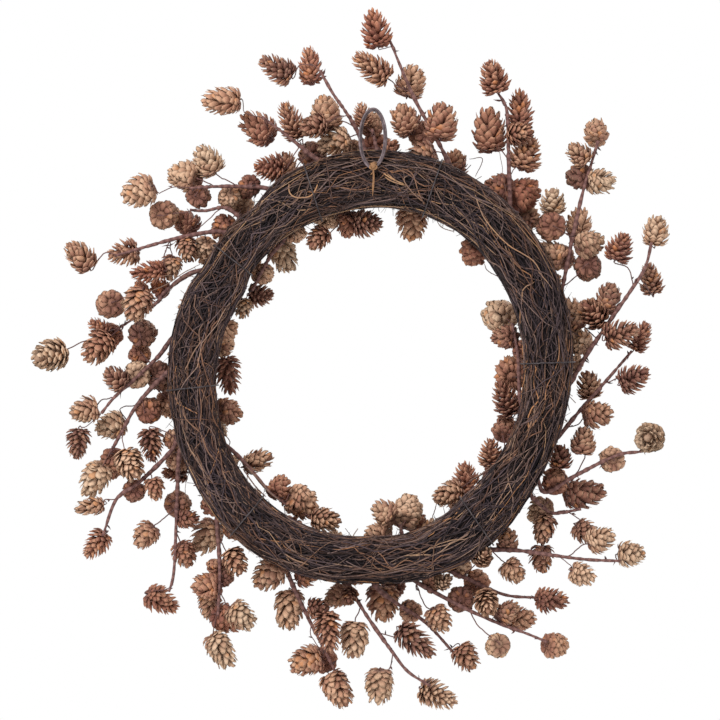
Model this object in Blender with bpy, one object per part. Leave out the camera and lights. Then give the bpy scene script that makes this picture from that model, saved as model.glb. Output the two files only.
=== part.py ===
"""Pine cone wreath with its back towards -Y: a ring of bound twigs, a wire loop to hang it by,
and sprays of small larch cones wired to paper-wrapped stems that are tied to the ring's front.
The origin is inside the top of the hanging loop, where a hook carries the wreath."""

import math
import random

import bmesh
import bpy
from mathutils import Vector

# Whole wreath, in metres
SPAN = 0.610
SPAN_SQUARES = 702
SQUARE = SPAN / SPAN_SQUARES
HOOK_ABOVE_CENTRE = 0.2233
HOOK_RIGHT_OF_CENTRE = 0.0026
GAP = 0.0003

# Twig ring
RING_RADIUS = 0.160
RING_OVAL = 0.0078
OVAL_ANGLE = math.radians(68)
RING_HALF_WIDTH = 0.0222
RING_WIDTH_SWING = 0.0022
RING_HALF_DEPTH = 0.0205
RING_SECTIONS = 36
QUARTER_PROFILE = ((0.2, 1.0), (0.54, 0.92), (0.83, 0.64), (1.0, 0.24))
GROOVE = 0.004
SEAT_GROOVE = 0.0005

# Stems, wires and cones
ROOT_RADIUS = 0.0021
STEM_TIP_RADIUS = 0.0012
STEM_SIDES = 5
BUNCH_STEM_RADIUS = 0.0017
STEM_RISE = 0.045
WIRE_RADIUS = 0.0008
WIRE_SIDES = 3
WIRE_STUB = 0.0035
WIRE_SLANT = 0.3
SHORTEST_WIRE = 0.0025
STRAIGHT_TURN = math.radians(50)
SHARPEST_TURN = math.radians(118)
END_MARGIN = 0.002
TIE_RADIUS = 0.0007
TIE_SLACK = 0.0014
TIE_SHOULDER = 0.010
TIE_FRONT_HALF = 0.58

# A cone's shape, in shares of its length and width
CONE_WHORLS = 3
SMALL_CONE_WHORLS = 2
SMALL_CONE_WIDTH = 0.0218
LOWEST_WHORL = 0.16
WHORL_RUN = 0.62
FULLEST = 0.38
OUTLINE_REACH = 0.72
SCALE_CORNERS = 6
SCALE_RISE = 0.09
NOTCH_DROP = 0.06
NOTCH = 0.62

# A cone's pose, with tilts in degrees, and its depth behind the stem
TILT = (-14, 18)
SWING = 0.34
END_ON_TILT = 74
BEHIND_STEM = 0.46
DEPTH_CHANCE = (-0.003, 0.006)

# How cones find room behind one another
OWN_OVERLAP = 0.12
CLEARANCE = 0.0007
LOWEST_DEPTH = -0.010
HIGHEST_DEPTH = 0.058
DEPTH_STEP = 0.002
DEPTH_STEPS = 30
SIDESTEPS = (0, 0.003, 0.006, 0.009)
COMPASS = 8
RING_ROD_STEPS = 48
SIDE_ROD_OFFSET = 0.34
SIDE_ROD_RADIUS = 0.7

# Hanging loop and its raffia tie
LOOP_HALF_WIDTH = 0.0104
LOOP_HALF_HEIGHT = 0.0264
LOOP_SPREAD = 0.0007
LOOP_WIRE_RADIUS = 0.0010
LOOP_PITCH = 2 * LOOP_WIRE_RADIUS + 2 * GAP
LOOP_TURNS = 2
LOOP_STEPS = 14
RAFFIA_RADIUS = 0.0012
RAFFIA_DROP = 0.0142
KNOT_HALF_SIZE = (0.0040, 0.0018, 0.0036)

# Depths from the ring's middle plane: its flat face, the stem roots on it, the bunches on them, the ties over all
FLAT_SIDE = math.cos(math.pi / STEM_SIDES)
SEAT = RING_HALF_DEPTH + GAP
ROOT_DEPTH = SEAT + ROOT_RADIUS * FLAT_SIDE
BUNCH_DEPTH = ROOT_DEPTH + ROOT_RADIUS + GAP + BUNCH_STEM_RADIUS * FLAT_SIDE
TIE_FRONT = BUNCH_DEPTH + BUNCH_STEM_RADIUS + GAP + TIE_RADIUS
HOOK_BEHIND_CENTRE = SEAT + LOOP_WIRE_RADIUS + LOOP_PITCH
RING_CENTRE = Vector((-HOOK_RIGHT_OF_CENTRE, HOOK_BEHIND_CENTRE, -HOOK_ABOVE_CENTRE))

# Layout of the sprays, in squares right of and above the ring's centre. A stem runs from its root on the ring
# to its tip. A cone's row is right, up, heading of its tip in degrees, length, width and, where its wire takes a
# route of its own, the route from the cone to the stem. A cone whose heading is BASE shows its base from the
# back, TIP shows its tip, and AWAY points away from its stem.
BASE, TIP, AWAY = "base", "tip", "away"

SPRAYS = {
    "spray_01": (10, ((2, 190), (-5, 217), (-12, 236), (-25, 257), (-37, 274), (-50, 297)), (
        (-95, 300, 150, 37, 27, ((-70, 302), (-57, 301), (-50, 297))),
        (-60, 305, 95, 39, 24),
        (-45, 258, 100, 35, 32, ((-30, 247), (-20, 244), (-13, 234))),
        (-58, 241, AWAY, 26, 26),
        (-38, 226, 200, 34, 28))),
    "spray_02": (24, ((-36, 186), (-45, 204), (-60, 214), (-80, 231), (-108, 252)), (
        (-151, 268, 183, 40, 27, ((-125, 256), (-108, 252))),
        (-115, 245, 140, 38, 30),
        (-80, 250, 112, 40, 24, ((-68, 230), (-64, 218))),
        (-60, 216, AWAY, 30, 26),
        (-103, 201, 178, 30, 28),
        (-80, 203, 90, 26, 24))),
    "spray_03": (14, ((-78, 168), (-102, 180), (-125, 182), (-150, 182), (-180, 180)), (
        (-233, 176, 200, 33, 32, ((-210, 175), (-197, 181), (-180, 180))),
        (-188, 194, AWAY, 33, 30, ((-173, 191), (-155, 183))),
        (-164, 210, AWAY, 32, 29, ((-150, 192), (-130, 183))),
        (-170, 173, BASE, 26, 24),
        (-142, 170, AWAY, 24, 22),
        (-123, 181, AWAY, 28, 22))),
    "spray_04": (26, ((-115, 140), (-128, 150), (-145, 161), (-165, 158), (-180, 159)), (
        (-205, 155, BASE, 30, 28),
        (-187, 149, AWAY, 26, 26, ((-170, 142), (-150, 160))),
        (-149, 140, AWAY, 26, 24),
        (-128, 166, AWAY, 26, 22))),
    "spray_05": (12, ((-132, 124), (-148, 137), (-185, 132), (-225, 121), (-252, 113)), (
        (-290, 114, 130, 34, 27, ((-265, 115), (-252, 113))),
        (-250, 116, 190, 31, 27),
        (-223, 96, 185, 36, 22, ((-206, 108), (-199, 128))),
        (-200, 99, AWAY, 25, 22),
        (-182, 117, AWAY, 25, 22),
        (-167, 117, AWAY, 25, 24))),
    "spray_06": (22, ((-150, 100), (-178, 96), (-205, 77), (-213, 66), (-238, 49), (-252, 40)), (
        (-230, 80, AWAY, 20, 18),
        (-212, 82, AWAY, 20, 18),
        (-260, 64, BASE, 30, 27, ((-240, 72), (-209, 72))),
        (-231, 61, 250, 33, 30),
        (-227, 37, BASE, 32, 26),
        (-272, 42, 140, 24, 20),
        (-261, 34, AWAY, 24, 24),
        (-273, 19, AWAY, 34, 29),
        (-310, 13, AWAY, 34, 31, ((-291, 25), (-258, 40))))),
    "spray_07": (10, ((-172, 50), (-195, 34), (-210, 14), (-230, -6), (-254, -28), (-267, -44)), (
        (-232, 13, BASE, 26, 22),
        (-234, -6, AWAY, 27, 26),
        (-255, -8, AWAY, 25, 25),
        (-208, -9, AWAY, 30, 28),
        (-286, -42, AWAY, 28, 27, ((-267, -31), (-254, -28))),
        (-291, -76, 265, 31, 24, ((-284, -58), (-267, -44))))),
    "spray_08": (22, ((-178, 12), (-205, -6), (-232, -35), (-248, -63), (-261, -87)), (
        (-262, -58, 200, 30, 28, ((-250, -40), (-233, -36))),
        (-220, -41, BASE, 28, 26),
        (-203, -38, AWAY, 28, 24),
        (-257, -97, AWAY, 30, 26),
        (-276, -113, 240, 38, 28),
        (-237, -97, AWAY, 31, 29, ((-246, -73), (-246, -60))))),
    "spray_09": (12, ((-182, -46), (-192, -64), (-198, -81), (-230, -113), (-252, -129), (-266, -166)), (
        (-280, -137, 190, 30, 18, ((-264, -130), (-252, -129))),
        (-236, -123, AWAY, 24, 22),
        (-214, -121, AWAY, 24, 20),
        (-275, -177, 230, 32, 24),
        (-218, -78, 275, 34, 24, ((-205, -62), (-194, -68))),
        (-197, -70, AWAY, 20, 20))),
    "spray_10": (26, ((-172, -60), (-181, -70), (-190, -81), (-193, -136), (-196, -201), (-201, -223)), (
        (-196, -107, 180, 26, 22),
        (-195, -91, AWAY, 22, 22),
        (-192, -135, AWAY, 28, 26),
        (-180, -150, AWAY, 22, 20),
        (-226, -168, AWAY, 27, 26, ((-202, -146), (-193, -136))),
        (-185, -188, AWAY, 26, 24, ((-190, -174), (-194, -160))),
        (-208, -235, 330, 36, 27))),
    "spray_11": (12, ((-147, -116), (-153, -136), (-150, -191), (-150, -216), (-151, -246)), (
        (-167, -172, 235, 37, 30),
        (-133, -194, AWAY, 27, 25, ((-143, -183), (-151, -165))),
        (-165, -216, AWAY, 30, 27),
        (-161, -239, 270, 28, 24),
        (-144, -208, AWAY, 20, 18),
        (-156, -198, AWAY, 20, 18),
        (-140, -251, AWAY, 32, 28),
        (-126, -247, AWAY, 31, 27, ((-142, -234), (-150, -218))),
        (-147, -282, 300, 38, 26),
        (-133, -161, AWAY, 26, 24),
        (-158, -137, AWAY, 24, 24))),
    "spray_12": (24, ((-88, -172), (-83, -201), (-67, -238), (-50, -272), (-35, -302)), (
        (-103, -207, 225, 34, 32),
        (-62, -207, AWAY, 22, 22),
        (-81, -244, 270, 40, 31, ((-75, -224), (-77, -212))),
        (-50, -239, AWAY, 22, 22),
        (-41, -262, 280, 40, 27),
        (-66, -293, 200, 34, 30, ((-59, -266), (-59, -254))),
        (-48, -292, AWAY, 28, 26),
        (-31, -323, 300, 38, 29))),
    "spray_13": (10, ((-34, -190), (-25, -209), (-5, -243), (22, -281), (38, -301), (60, -315)), (
        (70, -327, 338, 39, 27),
        (9, -319, 268, 36, 28, ((17, -302), (23, -282))),
        (47, -271, 322, 45, 27, ((26, -266), (9, -262))),
        (-34, -229, 210, 28, 26),
        (-21, -227, AWAY, 18, 18),
        (-16, -272, 265, 37, 28, ((-15, -250), (-10, -236))))),
    "spray_14": (26, ((-6, -190), (5, -216), (25, -233), (55, -253), (83, -283)), (
        (97, -290, 300, 28, 26),
        (13, -238, 270, 37, 33),
        (22, -218, AWAY, 26, 24),
        (40, -242, AWAY, 24, 22))),
    "spray_15": (14, ((14, -189), (35, -206), (90, -236), (130, -254), (155, -263), (177, -272)), (
        (187, -276, AWAY, 26, 25),
        (138, -241, AWAY, 27, 22),
        (154, -251, 0, 28, 25),
        (126, -276, BASE, 28, 24, ((108, -256), (98, -240))),
        (91, -230, AWAY, 28, 26),
        (64, -211, AWAY, 20, 20),
        (75, -211, AWAY, 18, 16),
        (70, -251, AWAY, 27, 26, ((55, -236), (44, -211))))),
    "spray_16": (28, ((48, -180), (70, -197), (100, -211), (135, -226), (168, -229)), (
        (184, -231, 355, 33, 25),
        (108, -213, AWAY, 26, 26),
        (116, -234, AWAY, 28, 24),
        (93, -198, AWAY, 22, 20),
        (112, -184, AWAY, 22, 20))),
    "spray_17": (12, ((80, -166), (108, -179), (150, -181), (210, -189), (249, -191)), (
        (263, -185, 0, 27, 27),
        (172, -192, 270, 28, 24),
        (213, -205, AWAY, 26, 23, ((200, -196), (185, -186))),
        (144, -203, AWAY, 25, 25, ((132, -192), (118, -180))),
        (138, -169, AWAY, 24, 22),
        (232, -169, AWAY, 28, 26, ((212, -175), (196, -187))))),
    "spray_18": (26, ((144, -106), (165, -131), (182, -144), (211, -140)), (
        (218, -125, 5, 42, 30),
        (169, -144, AWAY, 28, 26),
        (173, -162, AWAY, 30, 24),
        (218, -165, AWAY, 25, 24, ((210, -151), (196, -143))))),
    "spray_19": (12, ((151, -88), (166, -106), (175, -123), (205, -106), (245, -86), (271, -82)), (
        (276, -68, TIP, 29, 28),
        (241, -90, AWAY, 26, 25),
        (186, -110, AWAY, 28, 26),
        (213, -70, AWAY, 28, 26, ((214, -88), (203, -107))),
        (190, -86, AWAY, 24, 24))),
    "spray_20": (26, ((166, -66), (176, -72), (185, -71), (205, -47), (235, -13), (262, 18)), (
        (272, 34, 65, 32, 22),
        (264, -8, 25, 32, 28, ((249, -9), (233, -15))),
        (220, -14, 100, 28, 26),
        (230, -45, 10, 30, 27, ((208, -55), (195, -60))))),
    "spray_21": (12, ((176, -36), (195, -21), (218, 17), (260, 79), (274, 102), (280, 126)), (
        (286, 140, 85, 30, 26),
        (250, 123, 70, 30, 28, ((257, 100), (260, 82))),
        (279, 88, 100, 33, 24),
        (239, 73, 75, 31, 26, ((233, 50), (230, 35))),
        (251, 36, 20, 36, 28),
        (220, 57, AWAY, 30, 26),
        (203, 58, AWAY, 32, 28),
        (207, 31, AWAY, 30, 26),
        (203, 7, AWAY, 18, 18))),
    "spray_22": (24, ((176, 46), (190, 74), (200, 121), (212, 174), (222, 208), (228, 228)), (
        (227, 239, AWAY, 28, 24),
        (207, 216, AWAY, 26, 24),
        (208, 193, AWAY, 28, 25),
        (233, 188, 5, 29, 25),
        (183, 170, 95, 26, 25, ((192, 152), (200, 124))),
        (179, 143, BASE, 28, 28),
        (211, 149, 85, 31, 26),
        (222, 126, AWAY, 29, 27),
        (219, 101, BASE, 28, 27, ((205, 92), (192, 80))),
        (181, 116, AWAY, 32, 27),
        (193, 111, AWAY, 30, 24))),
    "spray_23": (12, ((138, 130), (140, 147), (138, 209), (136, 257), (127, 275)), (
        (122, 292, 108, 34, 30),
        (150, 262, 90, 41, 25),
        (119, 242, 95, 45, 33, ((126, 222), (137, 208))),
        (151, 234, AWAY, 26, 24),
        (157, 218, 70, 35, 32, ((146, 202), (139, 189))),
        (127, 182, AWAY, 32, 26),
        (156, 177, AWAY, 38, 34),
        (160, 151, AWAY, 28, 26))),
    "spray_24": (24, ((88, 172), (82, 197), (68, 227), (45, 269), (29, 306), (20, 328)), (
        (5, 342, 102, 39, 30),
        (0, 303, 145, 43, 27, ((26, 284), (42, 274))),
        (42, 292, 75, 33, 31),
        (34, 252, 120, 32, 30),
        (51, 235, AWAY, 26, 26),
        (71, 247, 85, 37, 33),
        (48, 211, AWAY, 34, 28),
        (86, 209, 80, 28, 27))),
    "spray_25": (30, ((16, 190), (10, 205), (6, 222), (2, 240)), (
        (-8, 256, 100, 24, 20),
        (3, 248, AWAY, 26, 24),
        (5, 226, AWAY, 28, 28),
        (-20, 222, AWAY, 18, 18),
        (22, 222, AWAY, 18, 18))),
    "inner_spray_1": (24, ((-18, 186), (-15, 172), (-14, 161)), (
        (-23, 143, AWAY, 26, 24),
        (0, 145, 0, 28, 28),
        (-45, 151, AWAY, 28, 24),
        (-53, 128, AWAY, 25, 22, ((-40, 136), (-20, 152))))),
    "inner_spray_2": (22, ((-98, 157), (-90, 144), (-86, 130), (-100, 112), (-118, 78)), (
        (-87, 117, 300, 38, 30),
        (-73, 136, AWAY, 24, 20),
        (-106, 96, AWAY, 24, 22),
        (-108, 74, 0, 25, 25),
        (-127, 59, AWAY, 20, 18))),
    "inner_spray_3": (24, ((-177, 30), (-165, 22), (-157, 8), (-156, -15), (-152, -40)), (
        (-144, 40, AWAY, 26, 26),
        (-146, 25, AWAY, 22, 22),
        (-143, -9, 280, 39, 27),
        (-140, -44, AWAY, 28, 25),
        (-147, -62, AWAY, 14, 12))),
    "inner_spray_4": (20, ((-164, -70), (-150, -74), (-138, -81), (-118, -102), (-100, -123), (-82, -137)), (
        (-111, -92, 20, 32, 22),
        (-90, -117, AWAY, 24, 24),
        (-66, -136, AWAY, 36, 31),
        (-42, -158, AWAY, 29, 24))),
    "inner_spray_5": (22, ((30, -182), (32, -168), (30, -155)), (
        (6, -166, AWAY, 26, 26),
        (13, -142, AWAY, 27, 26),
        (38, -140, AWAY, 34, 30),
        (47, -154, AWAY, 24, 20))),
    "inner_spray_6": (24, ((128, -128), (122, -114), (114, -102)), (
        (76, -126, AWAY, 30, 26, ((92, -118), (114, -103))),
        (97, -111, 100, 37, 30),
        (121, -82, AWAY, 28, 26),
        (131, -66, AWAY, 26, 26, ((134, -84), (118, -107))))),
    "inner_spray_7": (22, ((170, -50), (158, -46), (150, -30), (148, 12), (142, 46)), (
        (136, -38, 110, 38, 28),
        (139, -6, AWAY, 34, 34),
        (133, 32, AWAY, 30, 24),
        (128, 54, AWAY, 36, 33),
        (155, 19, AWAY, 20, 20))),
    "inner_spray_8": (24, ((112, 152), (104, 140), (102, 126)), (
        (104, 116, AWAY, 30, 28),)),
    "inner_spray_9": (24, ((44, 186), (44, 170), (42, 160)), (
        (42, 143, 270, 33, 32),)),
}

# Bunches on the ring's front, out of sight from the back
BUNCHES = 8
BUNCH_CONES = 6
BUNCH_ARC = math.radians(38)
BUNCH_START = math.radians(22)
BUNCH_SPREAD = 0.0125
BUNCH_CONE_LENGTH = 29
BUNCH_CONE_WIDTH = 25

# Wire ties round the ring, by angle from the right-hand side
TIE_ANGLES = (2, 71, 108, 141.5, 186, 230, 305)


def ring_radius(angle):
    """Radius of the ring's centre line, which is slightly oval."""
    return RING_RADIUS + RING_OVAL * math.cos(2 * (angle - OVAL_ANGLE))


def ring_half_width(angle):
    """Half the ring's width in its own plane: it is stouter at the top."""
    return RING_HALF_WIDTH + RING_WIDTH_SWING * math.sin(angle)


def on_ring(angle, outward, depth):
    """A point beside the ring's centre line, outward in the ring's plane and depth along +Y."""
    reach = ring_radius(angle) + outward
    return RING_CENTRE + Vector((reach * math.cos(angle), depth, reach * math.sin(angle)))


def on_layout(right, up, depth=0.0):
    """A point given in squares from the ring's centre."""
    return RING_CENTRE + Vector((right * SQUARE, depth, up * SQUARE))


def smooth(value):
    """Ease from 0 to 1."""
    value = min(1.0, max(0.0, value))
    return value * value * (3 - 2 * value)


def material(name, colour, roughness, metallic=0.0):
    """A plain Principled material."""
    made = bpy.data.materials.new(name)
    made.use_nodes = True
    shader = made.node_tree.nodes["Principled BSDF"]
    shader.inputs["Base Color"].default_value = (*colour, 1)
    shader.inputs["Roughness"].default_value = roughness
    shader.inputs["Metallic"].default_value = metallic
    return made


def solid(name, points, faces):
    """An object of one closed mesh with its faces pointing out."""
    mesh = bpy.data.meshes.new(name)
    mesh.from_pydata([tuple(point) for point in points], [], faces)
    shaped = bmesh.new()
    shaped.from_mesh(mesh)
    bmesh.ops.recalc_face_normals(shaped, faces=shaped.faces)
    if shaped.calc_volume(signed=True) < 0:
        bmesh.ops.reverse_faces(shaped, faces=shaped.faces)
    shaped.to_mesh(mesh)
    shaped.free()
    made = bpy.data.objects.new(name, mesh)
    bpy.context.scene.collection.objects.link(made)
    return made


def tube(name, route, radii, sides, closed=False):
    """A tube along a route, with one flat side towards -Y, capped unless it closes on itself."""
    count = len(route)
    points = []
    side = None
    for index, point in enumerate(route):
        before = route[index - 1] if closed or index else point
        after = route[(index + 1) % count] if closed or index < count - 1 else point
        along = (after - before).normalized()
        if side is None:
            side = along.cross(Vector((0, 1, 0)))
            if side.length < 0.05:
                side = Vector((1, 0, 0))
        side = (side - along * along.dot(side)).normalized()
        rise = side.cross(along)
        for corner in range(sides):
            turn = 2 * math.pi * (corner + 0.5) / sides - math.pi / 2
            points.append(point + radii[index] * (side * math.cos(turn) + rise * math.sin(turn)))
    faces = []
    for index in range(count if closed else count - 1):
        here = index * sides
        there = (index + 1) % count * sides
        for corner in range(sides):
            following = (corner + 1) % sides
            faces.append((here + corner, here + following, there + following, there + corner))
    if not closed:
        faces.append(tuple(range(sides)))
        faces.append(tuple(range((count - 1) * sides, count * sides)))
    return solid(name, points, faces)


def cone_outline(part_way):
    """Width of a cone at a point along its length, as a share of its greatest width."""
    return math.sqrt(max(0.0, 1 - ((part_way - FULLEST) / OUTLINE_REACH) ** 2))


def corners_round(middle, along, side, reaches):
    """A ring of corners square to a direction, each with its own reach and its own rise along it."""
    side = (side - along * along.dot(side)).normalized()
    across = along.cross(side)
    corners = []
    for index, (reach, rise) in enumerate(reaches):
        turn = math.tau * index / len(reaches)
        corners.append(middle + along * rise + reach * (side * math.cos(turn) + across * math.sin(turn)))
    return corners, side


def cone_on_wire(base, axis, length, width, roll, route):
    """A cone and the wire that carries it as one closed solid. The scales are larger than life: whorls of
    three pointed scales, each set over the gaps of the last. The route runs from the cone's base to the stem."""
    first = axis.orthogonal().normalized()
    first = first * math.cos(roll) + axis.cross(first) * math.sin(roll)
    whorls = SMALL_CONE_WHORLS if width < SMALL_CONE_WIDTH else CONE_WHORLS
    rings = []
    side = first
    for index, place in enumerate(route):
        before = (route[index - 1] - place).normalized() if index else axis
        after = (place - route[index + 1]).normalized() if index < len(route) - 1 else before
        along = (before + after).normalized()
        corners, side = corners_round(place, along, side, [(WIRE_RADIUS, 0.0)] * WIRE_SIDES)
        rings.insert(0, corners)
    for whorl in range(whorls):
        height = LOWEST_WHORL + WHORL_RUN * whorl / (whorls - 1)
        reach = cone_outline(height) * width / 2
        reaches = []
        for corner in range(SCALE_CORNERS):
            is_tip = (corner + whorl) % 2 == 1
            reaches.append((reach, length * SCALE_RISE) if is_tip else (reach * NOTCH, -length * NOTCH_DROP))
        corners, side = corners_round(base + axis * length * height, axis, first, reaches)
        rings.append(corners)
    points = [corner for ring in rings for corner in ring] + [base + axis * length]
    faces = [(0, 2, 1)]
    low = 0
    for number, (ring, following) in enumerate(zip(rings, rings[1:]), 1):
        high = low + len(ring)
        whorl = number - len(route)
        count, wider = len(ring), len(following)
        for corner in range(count):
            after = (corner + 1) % count
            if count == SCALE_CORNERS and (corner + whorl) % 2 == 1:
                faces.append((low + corner, low + after, high + corner))
                faces.append((low + after, high + after, high + corner))
            elif wider == count:
                faces.append((low + corner, low + after, high + after))
                faces.append((low + corner, high + after, high + corner))
            else:
                faces.append((low + corner, low + after, high + 2 * corner + 1))
                faces.append((low + corner, high + 2 * corner + 1, high + 2 * corner))
                faces.append((low + after, high + (2 * corner + 2) % wider, high + 2 * corner + 1))
        low = high
    for corner in range(SCALE_CORNERS):
        faces.append((len(points) - 1, low + corner, low + (corner + 1) % SCALE_CORNERS))
    return solid("cone", points, faces)


def fuse(name, pieces, finish):
    """Joins solids that overlap into one, by one union of the first with all the others."""
    body = pieces[0]
    if len(pieces) > 1:
        others = bpy.data.collections.new(name + "_repeats")
        for piece in pieces[1:]:
            others.objects.link(piece)
        union = body.modifiers.new("union", "BOOLEAN")
        union.operation = "UNION"
        union.solver = "MANIFOLD"
        union.operand_type = "COLLECTION"
        union.collection = others
        evaluated = body.evaluated_get(bpy.context.evaluated_depsgraph_get())
        joined = bpy.data.meshes.new_from_object(evaluated)
        body.modifiers.clear()
        body.data = joined
        for piece in pieces[1:]:
            bpy.data.objects.remove(piece)
        bpy.data.collections.remove(others)
    body.name = name
    body.data.materials.clear()
    body.data.materials.append(finish)
    return body


def segment_gap(start_a, end_a, start_b, end_b):
    """Shortest distance between two straight segments."""
    run_a = end_a - start_a
    run_b = end_b - start_b
    between = start_a - start_b
    length_a = max(run_a.dot(run_a), 1e-12)
    length_b = max(run_b.dot(run_b), 1e-12)
    mixed = run_a.dot(run_b)
    lead_a = run_a.dot(between)
    lead_b = run_b.dot(between)
    spread = length_a * length_b - mixed * mixed
    share_a = 0.0
    if spread > 1e-14:
        share_a = min(1.0, max(0.0, (mixed * lead_b - lead_a * length_b) / spread))
    share_b = min(1.0, max(0.0, (mixed * share_a + lead_b) / length_b))
    share_a = min(1.0, max(0.0, (mixed * share_b - lead_a) / length_a))
    return (between + run_a * share_a - run_b * share_b).length


class Rod:
    """A round-ended rod that stands for a stretch of stem or wire, or for a cone, while depths are chosen."""

    def __init__(self, owner, kind, start, end, radius):
        self.owner = owner
        self.kind = kind
        self.start = start
        self.end = end
        self.radius = radius

    def touches(self, low, high):
        """Whether the rod comes near a box as seen from the back."""
        reach = self.radius + CLEARANCE
        for axis in (0, 2):
            if min(self.start[axis], self.end[axis]) > high[axis] + reach:
                return False
            if max(self.start[axis], self.end[axis]) < low[axis] - reach:
                return False
        return True

    def room(self, other):
        """Room to spare between two rods: below zero they are too close."""
        gap = segment_gap(self.start, self.end, other.start, other.end) - self.radius - other.radius
        if self.owner != other.owner:
            return gap - CLEARANCE
        if "cone" in (self.kind, other.kind):
            return gap + OWN_OVERLAP * max(self.radius, other.radius)
        return 1.0


def rods_along(owner, kind, route, radii):
    """Rods for each stretch of a route."""
    return [Rod(owner, kind, route[index], route[index + 1], max(radii[index], radii[index + 1]))
            for index in range(len(route) - 1)]


def stem_route(points, tip_depth):
    """A stem lies flat on the ring's front, then leaves it for its own depth."""
    route = []
    for right, up in points:
        angle = math.atan2(up, right)
        outward = math.hypot(right, up) * SQUARE - ring_radius(angle)
        clear_of_ring = abs(outward) - ring_half_width(angle)
        share = smooth(clear_of_ring / STEM_RISE)
        route.append(on_layout(right, up, ROOT_DEPTH + share * (tip_depth - ROOT_DEPTH)))
    return route


def nearest_on(route, place):
    """The point of a route nearest a place as seen from the back, and its distance along the route."""
    best = None
    walked = 0.0
    for start, end in zip(route, route[1:]):
        run = end - start
        flat = Vector((run.x, 0, run.z))
        offset = Vector((place.x - start.x, 0, place.z - start.z))
        share = min(1.0, max(0.0, offset.dot(flat) / max(flat.dot(flat), 1e-12)))
        found = start + run * share
        away = math.hypot(place.x - found.x, place.z - found.z)
        if best is None or away < best[0]:
            best = (away, found, walked + run.length * share)
        walked += run.length
    return best


def point_along(route, distance):
    """The point at a distance along a route, kept off its two ends."""
    total = sum((end - start).length for start, end in zip(route, route[1:]))
    distance = min(max(distance, END_MARGIN), total - END_MARGIN)
    for start, end in zip(route, route[1:]):
        run = (end - start).length
        if distance <= run:
            return start.lerp(end, distance / run)
        distance -= run
    return route[-1].copy()


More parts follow.
